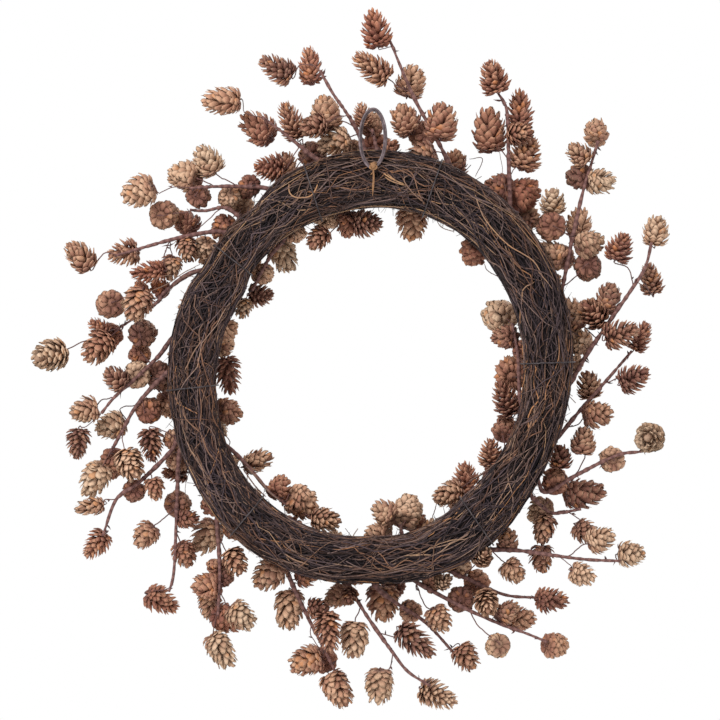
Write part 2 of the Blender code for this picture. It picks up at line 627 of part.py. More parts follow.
class Cone:
    """One cone: its place as seen from the back, its pose, and the wire that carries it."""

    def __init__(self, owner, row, stem, chance):
        right, up, heading, length, width = row[:5]
        self.owner = owner
        self.length = length * SQUARE
        self.width = width * SQUARE
        self.middle = on_layout(right, up)
        self.roll = chance.uniform(0, math.tau)
        self.swing = Vector([chance.uniform(-SWING, SWING) for axis in range(3)])
        away, found, along = nearest_on(stem, self.middle)
        self.landing = point_along(stem, along - WIRE_SLANT * away)
        self.bends = [on_layout(*place) for place in row[5]] if len(row) > 5 else []
        if self.bends:
            self.landing = point_along(stem, nearest_on(stem, self.bends.pop())[2])
        self.heading = None
        if heading != AWAY:
            tilt = chance.uniform(*TILT)
            if heading in (BASE, TIP):
                tilt = END_ON_TILT if heading == BASE else -END_ON_TILT
                heading = chance.uniform(0, 360)
            flat = math.cos(math.radians(tilt))
            self.heading = Vector((flat * math.cos(math.radians(heading)), math.sin(math.radians(tilt)),
                                   flat * math.sin(math.radians(heading))))
        self.depth = found.y + chance.uniform(*DEPTH_CHANCE)
        if away < self.width / 2 + ROOT_RADIUS:
            self.depth = found.y + ROOT_RADIUS + BEHIND_STEM * self.width
            if self.heading is None:
                self.depth = found.y + math.sqrt(max(0.0, (self.length / 2 + SHORTEST_WIRE) ** 2 - away ** 2))

    def at(self, shift, depth):
        """The cone's base and axis, its wire's route and the rods of both, at a depth and a small shift aside."""
        middle = self.middle + shift
        middle.y = depth
        target = self.landing
        if self.bends:
            share = 1 / (len(self.bends) + 1)
            target = Vector((self.bends[0].x, depth + share * (self.landing.y - depth), self.bends[0].z))
        axis = self.heading or ((middle - target).normalized() + self.swing).normalized()
        half = max(0.0, self.length - self.width) / 2
        body = Rod(self.owner, "cone", middle - axis * half, middle + axis * half, self.width / 2)
        base = middle - axis * self.length / 2
        route = self.wire(base, axis)
        return base, axis, route, [body] + rods_along(self.owner, "wire", route, [WIRE_RADIUS] * len(route))

    def wire(self, base, axis):
        """The wire from the cone's base to the middle of its stem. It leaves the cone straight where it turns."""
        route = [base]
        for index, place in enumerate(self.bends, 1):
            share = index / (len(self.bends) + 1)
            route.append(Vector((place.x, base.y + share * (self.landing.y - base.y), place.z)))
        route.append(self.landing)
        if (route[1] - base).angle(-axis, 0.0) > STRAIGHT_TURN:
            route.insert(1, base - axis * WIRE_STUB)
        return route

    def settle(self, laid):
        """Takes the depth nearest the stem's at which the cone and its wire clear everything laid before, with
        a small step aside only where no depth does."""
        best = None
        for reach in SIDESTEPS:
            for compass in range(COMPASS if reach else 1):
                turn = math.tau * compass / COMPASS
                found = self.search(Vector((reach * math.cos(turn), 0, reach * math.sin(turn))), laid)
                if best is None or found[0] > best[0]:
                    best = found
                if best[0] >= 0:
                    break
            if best[0] >= 0:
                break
        self.base, self.axis, self.wire_route, rods = best[1:]
        laid.extend(rods)

    def search(self, shift, laid):
        """The first clear depth at one shift, or else the roomiest."""
        best = None
        reach = (self.length + self.width) / 2
        middle = self.middle + shift
        spots = [middle - Vector((reach, 0, reach)), middle + Vector((reach, 0, reach)), self.landing] + self.bends
        low = Vector([min(spot[axis] for spot in spots) for axis in range(3)])
        high = Vector([max(spot[axis] for spot in spots) for axis in range(3)])
        close = [rod for rod in laid if rod.touches(low, high)]
        for step in range(2 * DEPTH_STEPS):
            depth = self.depth + (step + 1) // 2 * DEPTH_STEP * (1 if step % 2 else -1)
            if not LOWEST_DEPTH < depth - RING_CENTRE.y < HIGHEST_DEPTH:
                continue
            base, axis, route, rods = self.at(shift, depth)
            room = min([rod.room(other) for rod in rods for other in close], default=1.0)
            room = min([room] + [rods[0].room(rod) for rod in rods[2:]])
            room = min(room, (self.landing - base).length - SHORTEST_WIRE)
            if len(route) > 2:
                room = min(room, SHARPEST_TURN - (route[2] - route[1]).angle(route[1] - route[0]))
            if best is None or room > best[0]:
                best = (room, base, axis, route, rods)
            if room >= 0:
                break
        return best


def ring_rods():
    """Rods that stand for the twig ring: a stout one along its middle and a slimmer one on each side."""
    rods = []
    for index in range(RING_ROD_STEPS):
        angle = math.tau * index / RING_ROD_STEPS
        after = math.tau * (index + 1) / RING_ROD_STEPS
        half = ring_half_width(angle)
        slim = SIDE_ROD_RADIUS * half
        aside = SIDE_ROD_OFFSET * half
        for outward, radius in ((0, half), (-aside, slim), (aside, slim)):
            depth = RING_HALF_DEPTH - radius
            rods.append(Rod("twig_ring", "ring", on_ring(angle, outward, depth), on_ring(after, outward, depth),
                            radius + GAP))
    return rods


def tie_route(angle):
    """A wire tie's way round the ring: close to its back and sides, and over the stems on its front."""
    half = ring_half_width(angle)
    corners = []
    for outward, depth in QUARTER_PROFILE:
        corners.append((outward * half + TIE_SLACK * outward, -depth * (SEAT + TIE_RADIUS)))
    corners.append((half + TIE_SLACK, TIE_SHOULDER))
    corners.append((TIE_FRONT_HALF * half, TIE_FRONT))
    route = [on_ring(angle, outward, depth) for outward, depth in corners]
    return route + [on_ring(angle, -outward, depth) for outward, depth in reversed(corners)]


def bunch_layout(number):
    """Stem and cone rows of a bunch that lies along the ring's front."""
    middle = BUNCH_START + math.tau * number / BUNCHES
    stem = [on_ring(middle + BUNCH_ARC * (share - 0.5), 0, BUNCH_DEPTH) for share in (0, 0.25, 0.5, 0.75, 1)]
    rows = []
    for index in range(BUNCH_CONES):
        angle = middle + math.tau / BUNCHES * ((index + 0.5) / BUNCH_CONES - 0.5)
        place = on_ring(angle, BUNCH_SPREAD * (1 if index % 2 else -1), 0) - RING_CENTRE
        rows.append((place.x / SQUARE, place.z / SQUARE, AWAY, BUNCH_CONE_LENGTH, BUNCH_CONE_WIDTH))
    return stem, rows


def twig_ring(finish):
    """The ring of bound twigs: a tube whose ridges wind round it. Its grooves are shallow where things seat."""
    upper = list(QUARTER_PROFILE)
    lower = [(outward, -depth) for outward, depth in reversed(upper)]
    outer = upper + lower
    profile = outer + [(-outward, depth) for outward, depth in reversed(outer)]
    points = []
    for section in range(RING_SECTIONS):
        angle = math.tau * section / RING_SECTIONS
        for index, (outward, depth) in enumerate(profile):
            size = 1.0
            if (index + section) % 2 == 1:
                size -= (GROOVE if abs(depth) < 1 else SEAT_GROOVE) / RING_HALF_DEPTH
            points.append(on_ring(angle, outward * ring_half_width(angle) * size, depth * RING_HALF_DEPTH * size))
    count = len(profile)
    faces = []
    for section in range(RING_SECTIONS):
        here = section * count
        there = (section + 1) % RING_SECTIONS * count
        for index in range(count):
            following = (index + 1) % count
            faces.append((here + index, here + following, there + following))
            faces.append((here + index, there + following, there + index))
    body = solid("twig_ring", points, faces)
    body.data.materials.append(finish)
    return body


def loop_route():
    """The coated wire's way round the loop: upright turns, one behind the other, both ends at the bottom."""
    route = []
    for step in range(LOOP_TURNS * LOOP_STEPS + 1):
        turn = step / LOOP_STEPS
        angle = math.tau * turn - math.pi / 2
        reach = LOOP_HALF_WIDTH + LOOP_SPREAD * turn
        route.append(Vector((reach * math.cos(angle), LOOP_PITCH * (1 - turn),
                             LOOP_WIRE_RADIUS - LOOP_HALF_HEIGHT + LOOP_HALF_HEIGHT * math.sin(angle))))
    return route


def hanging_loop(finish):
    """The coated wire loop."""
    route = loop_route()
    body = tube("hanging_loop", route, [LOOP_WIRE_RADIUS] * len(route), 5)
    body.data.materials.append(finish)


def loop_tie(finish):
    """The raffia that ties the loop down: a strap over its bottom, a knot, and an end that lies on the ring."""
    bottom = loop_route()[0]
    beside = LOOP_WIRE_RADIUS + GAP + RAFFIA_RADIUS
    face = RING_CENTRE.y - SEAT
    front = -LOOP_PITCH - beside
    places = ((face, bottom.z + beside), (front, bottom.z + beside), (front, bottom.z - beside),
              (face - RAFFIA_RADIUS, bottom.z - beside), (face - RAFFIA_RADIUS, bottom.z - RAFFIA_DROP))
    route = [Vector((0, depth, height)) for depth, height in places]
    strap = tube("loop_tie", route, [RAFFIA_RADIUS] * len(route), 5)
    shaped = bmesh.new()
    bmesh.ops.create_icosphere(shaped, subdivisions=2, radius=1)
    middle = Vector((0, front - KNOT_HALF_SIZE[1] / 2, bottom.z))
    points = [middle + Vector([part * size for part, size in zip(corner.co, KNOT_HALF_SIZE)])
              for corner in shaped.verts]
    knot = solid("knot", points, [[corner.index for corner in face.verts] for face in shaped.faces])
    shaped.free()
    fuse("loop_tie", [strap, knot], finish)


def clear_scene():
    """Removes whatever the file holds at the start."""
    for found in list(bpy.data.objects):
        bpy.data.objects.remove(found)


clear_scene()

TWIG = material("dark_twig", (0.042, 0.030, 0.025), 0.85)
CONE = material("larch_cone", (0.30, 0.17, 0.09), 0.75)
COATED_WIRE = material("coated_wire", (0.09, 0.07, 0.075), 0.45)
RAFFIA = material("raffia", (0.33, 0.17, 0.06), 0.8)
TIE_WIRE = material("tie_wire", (0.05, 0.045, 0.05), 0.5, 0.6)

twig_ring(TWIG)
hanging_loop(COATED_WIRE)
loop_tie(RAFFIA)

stems = {}
for name, (tip_depth, places, rows) in SPRAYS.items():
    stems[name] = stem_route(places, tip_depth / 1000)

laid = ring_rods()
for name, route in stems.items():
    laid += rods_along(name, "stem", route, [ROOT_RADIUS] * len(route))
for number, degrees in enumerate(TIE_ANGLES, 1):
    name = f"wire_tie_{number}"
    route = tie_route(math.radians(degrees))
    laid += rods_along(name, "wire", route + route[:1], [TIE_RADIUS] * (len(route) + 1))
    ring = tube(name, route, [TIE_RADIUS] * len(route), WIRE_SIDES, closed=True)
    ring.data.materials.append(TIE_WIRE)

bunches = {}
for number in range(BUNCHES):
    name = f"front_bunch_{number + 1}"
    route, rows = bunch_layout(number)
    stems[name] = route
    bunches[name] = rows
    laid += rods_along(name, "stem", route, [BUNCH_STEM_RADIUS] * len(route))


def grow(name, route, radii, rows, seed):
    """One spray or bunch: its stem, its wires and its cones, fused."""
    chance = random.Random(seed)
    pieces = [tube(name, route, radii, STEM_SIDES)]
    for row in rows:
        cone = Cone(name, row, route, chance)
        cone.settle(laid)
        pieces.append(cone_on_wire(cone.base, cone.axis, cone.length, cone.width, cone.roll, cone.wire_route))
    fuse(name, pieces, CONE)


for seed, (name, (tip_depth, places, rows)) in enumerate(SPRAYS.items()):
    route = stems[name]
    steps = len(route) - 1
    radii = [ROOT_RADIUS if index < 2 else ROOT_RADIUS + (STEM_TIP_RADIUS - ROOT_RADIUS) * (index - 1) / (steps - 1)
             for index in range(len(route))]
    grow(name, route, radii, rows, seed)

for seed, (name, rows) in enumerate(bunches.items()):
    route = stems[name]
    grow(name, route, [BUNCH_STEM_RADIUS] * len(route), rows, 100 + seed)
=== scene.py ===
import math
import random

import bpy
import numpy as np
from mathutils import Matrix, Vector


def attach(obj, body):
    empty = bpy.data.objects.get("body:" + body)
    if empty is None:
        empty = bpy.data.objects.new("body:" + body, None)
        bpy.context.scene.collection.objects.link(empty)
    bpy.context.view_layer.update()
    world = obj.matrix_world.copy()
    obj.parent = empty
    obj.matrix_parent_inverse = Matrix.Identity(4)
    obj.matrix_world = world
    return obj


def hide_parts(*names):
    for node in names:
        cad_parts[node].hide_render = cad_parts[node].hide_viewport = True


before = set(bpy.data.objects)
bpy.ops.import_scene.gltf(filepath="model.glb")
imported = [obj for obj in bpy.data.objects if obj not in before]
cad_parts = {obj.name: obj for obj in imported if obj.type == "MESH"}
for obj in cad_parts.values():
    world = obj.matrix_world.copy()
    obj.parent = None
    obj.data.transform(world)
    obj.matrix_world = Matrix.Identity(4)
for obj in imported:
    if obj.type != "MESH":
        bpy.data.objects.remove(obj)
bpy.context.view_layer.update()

# Camera, light and floor
# The wreath hangs free in a white studio and is seen flat on from behind, by a long lens level with its
# middle. White light comes from all round, with a soft lamp high on the left. The floor is far below.
CAMERA_PLACE = (-0.0113, -2.5756, -0.2155)
LENS = 151.1
SENSOR_WIDTH = 36
# Each lamp has a name, a place, the side of its square in metres and its power.
LAMPS = (("key_lamp", (-1.3, -2.2, 1.5), 1.2, 75), ("rear_lamp", (1.4, 2.4, 1.2), 1.6, 40))
FLOOR_DROP = 1.15
FLOOR_REACH = 2
FLOOR_COLOUR = (0.82, 0.82, 0.81, 1)
FLOOR_ROUGHNESS = 0.9

world = bpy.data.worlds.new("white_studio")
world.use_nodes = True
world.node_tree.nodes["Background"].inputs["Color"].default_value = (1, 1, 1, 1)
world.node_tree.nodes["Background"].inputs["Strength"].default_value = 1.0
bpy.context.scene.world = world
bpy.context.scene.view_settings.view_transform = "Standard"

camera = bpy.data.objects.new("camera", bpy.data.cameras.new("camera"))
camera.location = CAMERA_PLACE
camera.rotation_euler = (math.pi / 2, 0, 0)
camera.data.lens = LENS
camera.data.sensor_width = SENSOR_WIDTH
bpy.context.scene.collection.objects.link(camera)
bpy.context.scene.camera = camera

middle = Vector(CAMERA_PLACE) * Vector((1, 0, 1))
for name, place, side, power in LAMPS:
    lamp = bpy.data.objects.new(name, bpy.data.lights.new(name, "AREA"))
    lamp.data.size = side
    lamp.data.energy = power
    lamp.location = place
    lamp.rotation_euler = (middle - Vector(place)).to_track_quat("-Z", "Y").to_euler()
    bpy.context.scene.collection.objects.link(lamp)

corners = [(x * FLOOR_REACH, y * FLOOR_REACH, -FLOOR_DROP) for x, y in ((-1, -1), (1, -1), (1, 1), (-1, 1))]
floor_mesh = bpy.data.meshes.new("floor")
floor_mesh.from_pydata(corners, [], [(0, 1, 2, 3)])
floor = bpy.data.objects.new("floor", floor_mesh)
bpy.context.scene.collection.objects.link(floor)
floor_finish = bpy.data.materials.new("pale_floor")
floor_finish.use_nodes = True
shader = floor_finish.node_tree.nodes["Principled BSDF"]
shader.inputs["Base Color"].default_value = FLOOR_COLOUR
shader.inputs["Roughness"].default_value = FLOOR_ROUGHNESS
floor_mesh.materials.append(floor_finish)

# Twig ring
# A thick ring of vine twigs and root fibre, nearly black, laid round and round and bound into a roll. It has
# a packed core, thousands of fine strands over it, and brown and orange strands that curl loose on top.
SQUARE = 0.610 / 702
GAP = 0.0003
RING_CENTRE = Vector((-0.0026, 0.0244, -0.2233))
RING_RADIUS = 0.160
RING_OVAL = 0.0078
OVAL_ANGLE = math.radians(68)
RING_HALF_WIDTH = 0.0222
RING_WIDTH_SWING = 0.0022
RING_HALF_DEPTH = 0.0205
ROLL_SQUARENESS = 0.78
CORE_SHARE = 0.84
CORE_LUMPS = 0.018
CORE_SECTIONS = 150
CORE_SIDES = 26
CORE_TONE = 0.05
CORE_HUE = 0.4
# A strand weaves over the roll in waves of these lengths, in radians of the ring. The number of each wave
# varies, a shorter wave is a lower one, and the strand swells in and out as well.
WAVE_LENGTHS = (0.9, 0.42, 0.2)
WAVE_CHANCE = (0.7, 1.3)
WAVE_FALL = 0.55
WAVE_ALONG = 0.06
SWELL = 0.018
SWELL_TURNS = 2.2
STRAND_END = 0.2
THICKNESS_CHANCE = (0.85, 1.15)
TONE_CHANCE = 0.05
WILD_SHARE = 0.16
WILD_SLANT = 3.0
# Strands darken the deeper they lie in the roll: painted shade under the strands above, with some dust.
DEEP_SHADE_AND_DUST = 3.2
DEEPEST = 0.15
TWIG_STEPS = 28
TWIG_WALLS = 6
TWIG_KINKS = 0.12
TWIG_LIFT = 1.055
TWIG_DIP = 0.12
TWIG_HUE = 0.6
# The roll isn't wound evenly. At each of these angles its inner edge and its outer edge stand a number of
# squares further out.
EDGE_ANGLES = (0, 20, 40, 60, 80, 113, 119, 126, 133, 140, 149, 156, 166, 190, 210, 235, 270, 283, 296, 308,
               318, 330, 345, 360)
INNER_EDGE = (1, -2, -3, -2, -2, 1, 2, 3, 4, 4, -2, -1, 1, 1, 0, -1, -1, 4, 3, 1, 3, 4, 4, 1)
OUTER_EDGE = (-4, -5, -7, -7, -4, -3, -6, -12, -9, -9, -10, -5, -4, -5, -6, -2, -3, 3, 6, 5, 1, -2, -3, -4)
# The layers of strands from the core outwards: name, number, steps, walls, the angle that a strand spans,
# slant, share of the roll's thickness, how far its ends dip or stand out, radius, curl, tones, the chance of
# each tone, and the part of the ring that it lies on, in degrees.
ALL_ROUND = (0, 360)
LAYERS = (
    ("inner_strands", 1500, 9, 3, (0.4, 1.1), 0.8, (0.87, 0.95), (-0.1, 0.02), (0.0005, 0.0009), 0.06,
     (0.08, 0.24, 0.44), (0.48, 0.32, 0.20), ALL_ROUND),
    ("outer_strands", 2000, 14, 3, (0.3, 1.0), 1.45, (0.93, 1.06), (-0.14, 0.04), (0.0003, 0.0007), 0.15,
     (0.08, 0.33, 0.60, 0.86), (0.34, 0.32, 0.24, 0.10), ALL_ROUND),
    ("loose_twigs", 200, 21, 4, (0.2, 0.7), 1.7, (1.0, 1.05), (-0.12, 0.08), (0.00035, 0.0007), 0.22,
     (0.36, 0.5, 0.64, 0.80), (0.46, 0.34, 0.15, 0.05), ALL_ROUND),
    ("ring_wisps", 650, 7, 3, (0.06, 0.22), 2.0, (0.99, 1.05), (-0.1, 0.40), (0.00022, 0.0004), 0.26,
     (0.25, 0.42, 0.6), (0.5, 0.3, 0.2), ALL_ROUND),
    ("top_tangle", 120, 24, 3, (0.12, 0.4), 5.0, (1.0, 1.05), (-0.08, 0.05), (0.00028, 0.0005), 0.7,
     (0.24, 0.42, 0.62), (0.45, 0.38, 0.17), (45, 100)),
    ("side_tangle", 120, 24, 3, (0.12, 0.4), 4.0, (1.0, 1.05), (-0.08, 0.05), (0.00028, 0.0005), 0.6,
     (0.24, 0.42, 0.62), (0.45, 0.38, 0.17), (140, 205)),
    ("low_tangle", 120, 24, 3, (0.12, 0.4), 4.0, (1.0, 1.05), (-0.08, 0.05), (0.00028, 0.0005), 0.6,
     (0.24, 0.42, 0.62), (0.45, 0.38, 0.17), (212, 320)),
)
# Twigs that stand out on the roll's back: thickness in millimetres, tone, and route in squares from the
# ring's centre.
LAID_TWIGS = (
    (1.3, 0.86, ((-80, 184), (-79, 172), (-70, 168), (-57, 171), (-50, 184))),
    (1.1, 0.62, ((-66, 176), (-72, 166), (-80, 160))), (1.2, 0.92, ((12, 193), (20, 187), (33, 181))),
    (1.0, 0.88, ((14, 189), (22, 184), (36, 180))), (0.9, 0.84, ((16, 192), (25, 186), (32, 184))),
    (1.0, 0.70, ((41, 192), (33, 187), (41, 175), (56, 163))),
    (1.1, 0.84, ((101, 181), (106, 162), (115, 143), (135, 122), (159, 107), (168, 95), (174, 82))),
    (0.9, 0.78, ((163, 98), (172, 88), (180, 78))), (1.0, 0.80, ((162, 86), (151, 78), (151, 66))),
    (1.0, 0.72, ((-162, 33), (-176, 10), (-182, -5))), (0.9, 0.66, ((-160, 50), (-168, 38), (-166, 22))),
    (1.0, 0.80, ((-180, -71), (-176, -78), (-170, -86))),
    (1.2, 0.76, ((-87, -179), (-75, -187), (-60, -193))),
    (1.5, 0.60, ((-123, -96), (-108, -113), (-100, -123), (-90, -131))),
    (1.2, 0.56, ((-126, -99), (-112, -117), (-103, -126))),
    (0.9, 0.50, ((-145, -64), (-139, -71), (-140, -78))), (1.2, 0.62, ((98, -111), (115, -101), (140, -81))),
    (0.8, 0.66, ((66, 147), (70, 141), (80, 136), (86, 138))),
    (0.8, 0.50, ((113, 104), (117, 97), (127, 91))), (0.8, 0.42, ((32, -151), (30, -163), (25, -168))),
    (0.8, 0.42, ((66, -133), (62, -151))), (0.8, 0.46, ((145, -54), (149, -66))),
    (0.8, 0.70, ((-18, -168), (-12, -158))), (0.7, 0.40, ((98, 208), (111, 209), (104, 191))),
    (0.9, 0.36, ((-108, 174), (-94, 154), (-80, 134))), (0.9, 0.36, ((-44, 209), (-41, 186), (-36, 160))),
    (0.9, 0.38, ((67, 206), (55, 184))), (0.9, 0.36, ((-47, 205), (-60, 182), (-66, 168))),
    (0.8, 0.38, ((-4, 187), (-22, 166))), (0.8, 0.38, ((-1, 186), (-8, 165))),
    (0.9, 0.34, ((-150, 129), (-135, 112), (-120, 94))),
    (0.5, 0.50, ((-176, -96), (-180, -106), (-182, -121), (-175, -137))),
    (0.5, 0.50, ((127, 223), (129, 209), (134, 178), (137, 163))),
    (0.8, 0.62, ((-168, 104), (-184, 96), (-206, 82), (-228, 74))),
    (0.6, 0.58, ((-166, 99), (-188, 88), (-204, 70), (-216, 66))),
    (0.5, 0.66, ((-170, 92), (-190, 92), (-208, 92), (-220, 86))))
chance = np.random.default_rng(11)


def ring_radius(angle):
    """Radius of the ring's centre line, which is slightly oval."""
    return RING_RADIUS + RING_OVAL * math.cos(2 * (angle - OVAL_ANGLE))


def ring_half_width(angle):
    """Half the ring's width in its own plane: it is stouter at the top."""
    return RING_HALF_WIDTH + RING_WIDTH_SWING * math.sin(angle)


def on_ring(angle, outward, depth):
    """A point beside the ring's centre line, outward in the ring's plane and depth along +Y."""
    reach = ring_radius(angle) + outward
    return RING_CENTRE + Vector((reach * math.cos(angle), depth, reach * math.sin(angle)))


def on_layout(right, up, depth=0.0):
    """A point given in squares from the ring's centre."""
    return RING_CENTRE + Vector((right * SQUARE, depth, up * SQUARE))


class Shade:
    """A socket in a finish's nodes. Expressions on it add the Math nodes that they need."""

    def __init__(self, tree, socket=None):
        self.tree = tree
        self.socket = socket

    def node(self, kind, settings, values, output=0):
        """Adds any node: its settings first, then its sockets' values or links."""
        made = self.tree.nodes.new("ShaderNode" + kind)
        for name, value in settings.items():
            if name == "stops":
                while len(made.color_ramp.elements) < len(value):
                    made.color_ramp.elements.new(0.5)
                for stop, (position, colour) in zip(made.color_ramp.elements, value):
                    stop.position = position
                    stop.color = (*colour, 1)
            else:
                setattr(made, name, value)
        for name, value in values.items():
            if isinstance(value, Shade):
                self.tree.links.new(value.socket, made.inputs[name])
            else:
                made.inputs[name].default_value = value
        return Shade(self.tree, made.outputs[output])

    def sum(self, operation, first, second):
        return self.node("Math", {"operation": operation}, {0: first, 1: second})

    def __add__(self, other):
        return self.sum("ADD", self, other)

    def __radd__(self, other):
        return self.sum("ADD", other, self)

    def __sub__(self, other):
        return self.sum("SUBTRACT", self, other)

    def __rsub__(self, other):
        return self.sum("SUBTRACT", other, self)

    def __mul__(self, other):
        return self.sum("MULTIPLY", self, other)

    def __rmul__(self, other):
        return self.sum("MULTIPLY", other, self)

    def ease(self, low, high):
        """From 0 at low to 1 at high."""
        return self.node("MapRange", {"interpolation_type": "SMOOTHSTEP"},
                         {"Value": self, "From Min": low, "From Max": high})

    def mark(self, name):
        """A number kept on the mesh's points."""
        return self.node("Attribute", {"attribute_name": name}, {}, "Fac")

    def grain(self, place, size, detail=3.0):
        """Noise with features of a given size, from 0 to 1."""
        return self.node("TexNoise", {}, {"Vector": place, "Scale": 1 / size, "Detail": detail}, "Fac")

    def ramp(self, stops):
        return self.node("ValToRGB", {"stops": stops}, {"Fac": self})

    def blend(self, share, first, second, way="MIX"):
        """Mixes two colours."""
        return self.node("Mix", {"data_type": "RGBA", "blend_type": way}, {0: share, 6: first, 7: second}, 2)


def finish(name, roughness, gloss=0.5):
    """A new material, its shader node, a start for expressions and the place on the piece."""
    made = bpy.data.materials.new(name)
    made.use_nodes = True
    shader = made.node_tree.nodes["Principled BSDF"]
    shader.inputs["Roughness"].default_value = roughness
    shader.inputs["Specular IOR Level"].default_value = gloss
    start = Shade(made.node_tree)
    return made, shader, start, start.node("TexCoord", {}, {}, "Object")


def wear(shader, colour, roughness=None, relief=None, strength=0.5, depth=0.0005):
    """Links what changes over a finish: its colour, its roughness and the fine relief on it."""
    links = {"Base Color": colour, "Roughness": roughness}
    if relief:
        links["Normal"] = relief.node("Bump", {}, {"Strength": strength, "Distance": depth, "Height": relief})
    for name, value in links.items():
        if value:
            value.tree.links.new(value.socket, shader.inputs[name])


def piece(name, points, faces, marks, material):
    """A smooth mesh object with numbers kept on its points."""
    mesh = bpy.data.meshes.new(name)
    mesh.from_pydata(points, [], faces)
    mesh.polygons.foreach_set("use_smooth", [True] * len(mesh.polygons))
    for mark, values in marks.items():
        kept = mesh.attributes.new(mark, "FLOAT", "POINT")
        kept.data.foreach_set("value", np.asarray(values, dtype=np.float32))
    mesh.materials.append(material)
    made = bpy.data.objects.new(name, mesh)
    bpy.context.scene.collection.objects.link(made)
    return made


def fit(made, node):
    """Puts a piece in place of a solid of the part, on its one body."""
    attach(made, "root")
    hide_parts(node)


def unit(arrows):
    return arrows / np.maximum(np.linalg.norm(arrows, axis=-1, keepdims=True), 1e-12)


def tubes(routes, radii, sides, start=0):
    """Points and faces of many closed tubes, all with the same number of steps."""
    count, steps = radii.shape
    along = unit(np.gradient(routes, axis=1))
    side = np.cross(along[:, 0], (0.3, 1.0, 0.2))
    points = np.empty((count, steps, sides, 3))
    turns = np.arange(sides) * math.tau / sides
    for step in range(steps):
        heading = along[:, step]
        side = unit(side - heading * np.sum(side * heading, axis=-1, keepdims=True))
        across = np.cross(heading, side)
        ring = side[:, None] * np.cos(turns)[None, :, None] + across[:, None] * np.sin(turns)[None, :, None]
        points[:, step] = routes[:, step, None] + ring * radii[:, step, None, None]
    corner = np.arange(sides)
    following = (corner + 1) % sides
    low = (np.arange(steps - 1) * sides)[:, None]
    wall = np.stack([low + corner, low + following, low + sides + following, low + sides + corner], axis=-1)
    offsets = start + np.arange(count) * steps * sides
    faces = (wall.reshape(1, -1, 4) + offsets[:, None, None]).reshape(-1, 4).tolist()
    faces += (corner[::-1][None] + offsets[:, None]).tolist()
    faces += (corner[None] + (steps - 1) * sides + offsets[:, None]).tolist()
    return points.reshape(-1, 3), faces


def roll_edges(around):
    """Radius of the roll's middle and half its width, with its uneven winding."""
    degrees = np.degrees(around) % 360
    inner = np.interp(degrees, EDGE_ANGLES, INNER_EDGE) * SQUARE
    outer = np.interp(degrees, EDGE_ANGLES, OUTER_EDGE) * SQUARE
    reach = RING_RADIUS + RING_OVAL * np.cos(2 * (around - OVAL_ANGLE)) + (outer + inner) / 2
    return reach, RING_HALF_WIDTH + RING_WIDTH_SWING * np.sin(around) + (outer - inner) / 2


def roll_place(around, turn, share):
    """Points in the roll: around the ring, turned about its own middle line, at a share of its thickness."""
    reach, half = roll_edges(around)
    wide = np.sign(np.cos(turn)) * np.abs(np.cos(turn)) ** ROLL_SQUARENESS
    deep = np.sign(np.sin(turn)) * np.abs(np.sin(turn)) ** ROLL_SQUARENESS
    reach = reach + share * half * wide
    return np.stack([RING_CENTRE.x + reach * np.cos(around), RING_CENTRE.y + share * RING_HALF_DEPTH * deep,
                     RING_CENTRE.z + reach * np.sin(around)], axis=-1)


dark_twig, shader, start, spot = finish("dark_twig", 0.7, 0.2)
bark = start.grain(spot, 0.0013)
patch = start.grain(spot, 0.012, 2.0)
tone = start.mark("tone") + (patch - 0.5) * 0.30 + (bark - 0.5) * 0.52
hue = start.mark("hue") + (start.grain(spot, 0.07, 1.0) - 0.5) * 0.8
colour = tone.ramp(((0.0, (0.010, 0.007, 0.008)), (0.25, (0.040, 0.026, 0.026)), (0.5, (0.105, 0.066, 0.058)),
                    (0.75, (0.225, 0.140, 0.100)), (1.0, (0.430, 0.250, 0.125))))
colour = start.blend(hue.ease(0.45, 0.95), colour, (1.14, 0.90, 0.71, 1), "MULTIPLY")
colour = start.blend(1 - hue.ease(0.1, 0.55), colour, (0.90, 0.94, 1.12, 1), "MULTIPLY")
wear(shader, colour, 0.55 + 0.3 * bark, bark, 0.5, 0.0006)

around, turn = np.meshgrid(np.linspace(0, math.tau, CORE_SECTIONS, endpoint=False),
                           np.linspace(0, math.tau, CORE_SIDES, endpoint=False), indexing="ij")
points = roll_place(around, turn, CORE_SHARE + chance.normal(0, CORE_LUMPS, around.shape)).reshape(-1, 3)
faces = []
for section in range(CORE_SECTIONS):
    for side in range(CORE_SIDES):
        here = section * CORE_SIDES
        there = (section + 1) % CORE_SECTIONS * CORE_SIDES
        after = (side + 1) % CORE_SIDES
        faces.append((here + side, here + after, there + after, there + side))
marks = {"tone": np.full(len(points), CORE_TONE), "hue": np.full(len(points), CORE_HUE)}
ring_pieces = [piece("ring_core", points, faces, marks, dark_twig)]


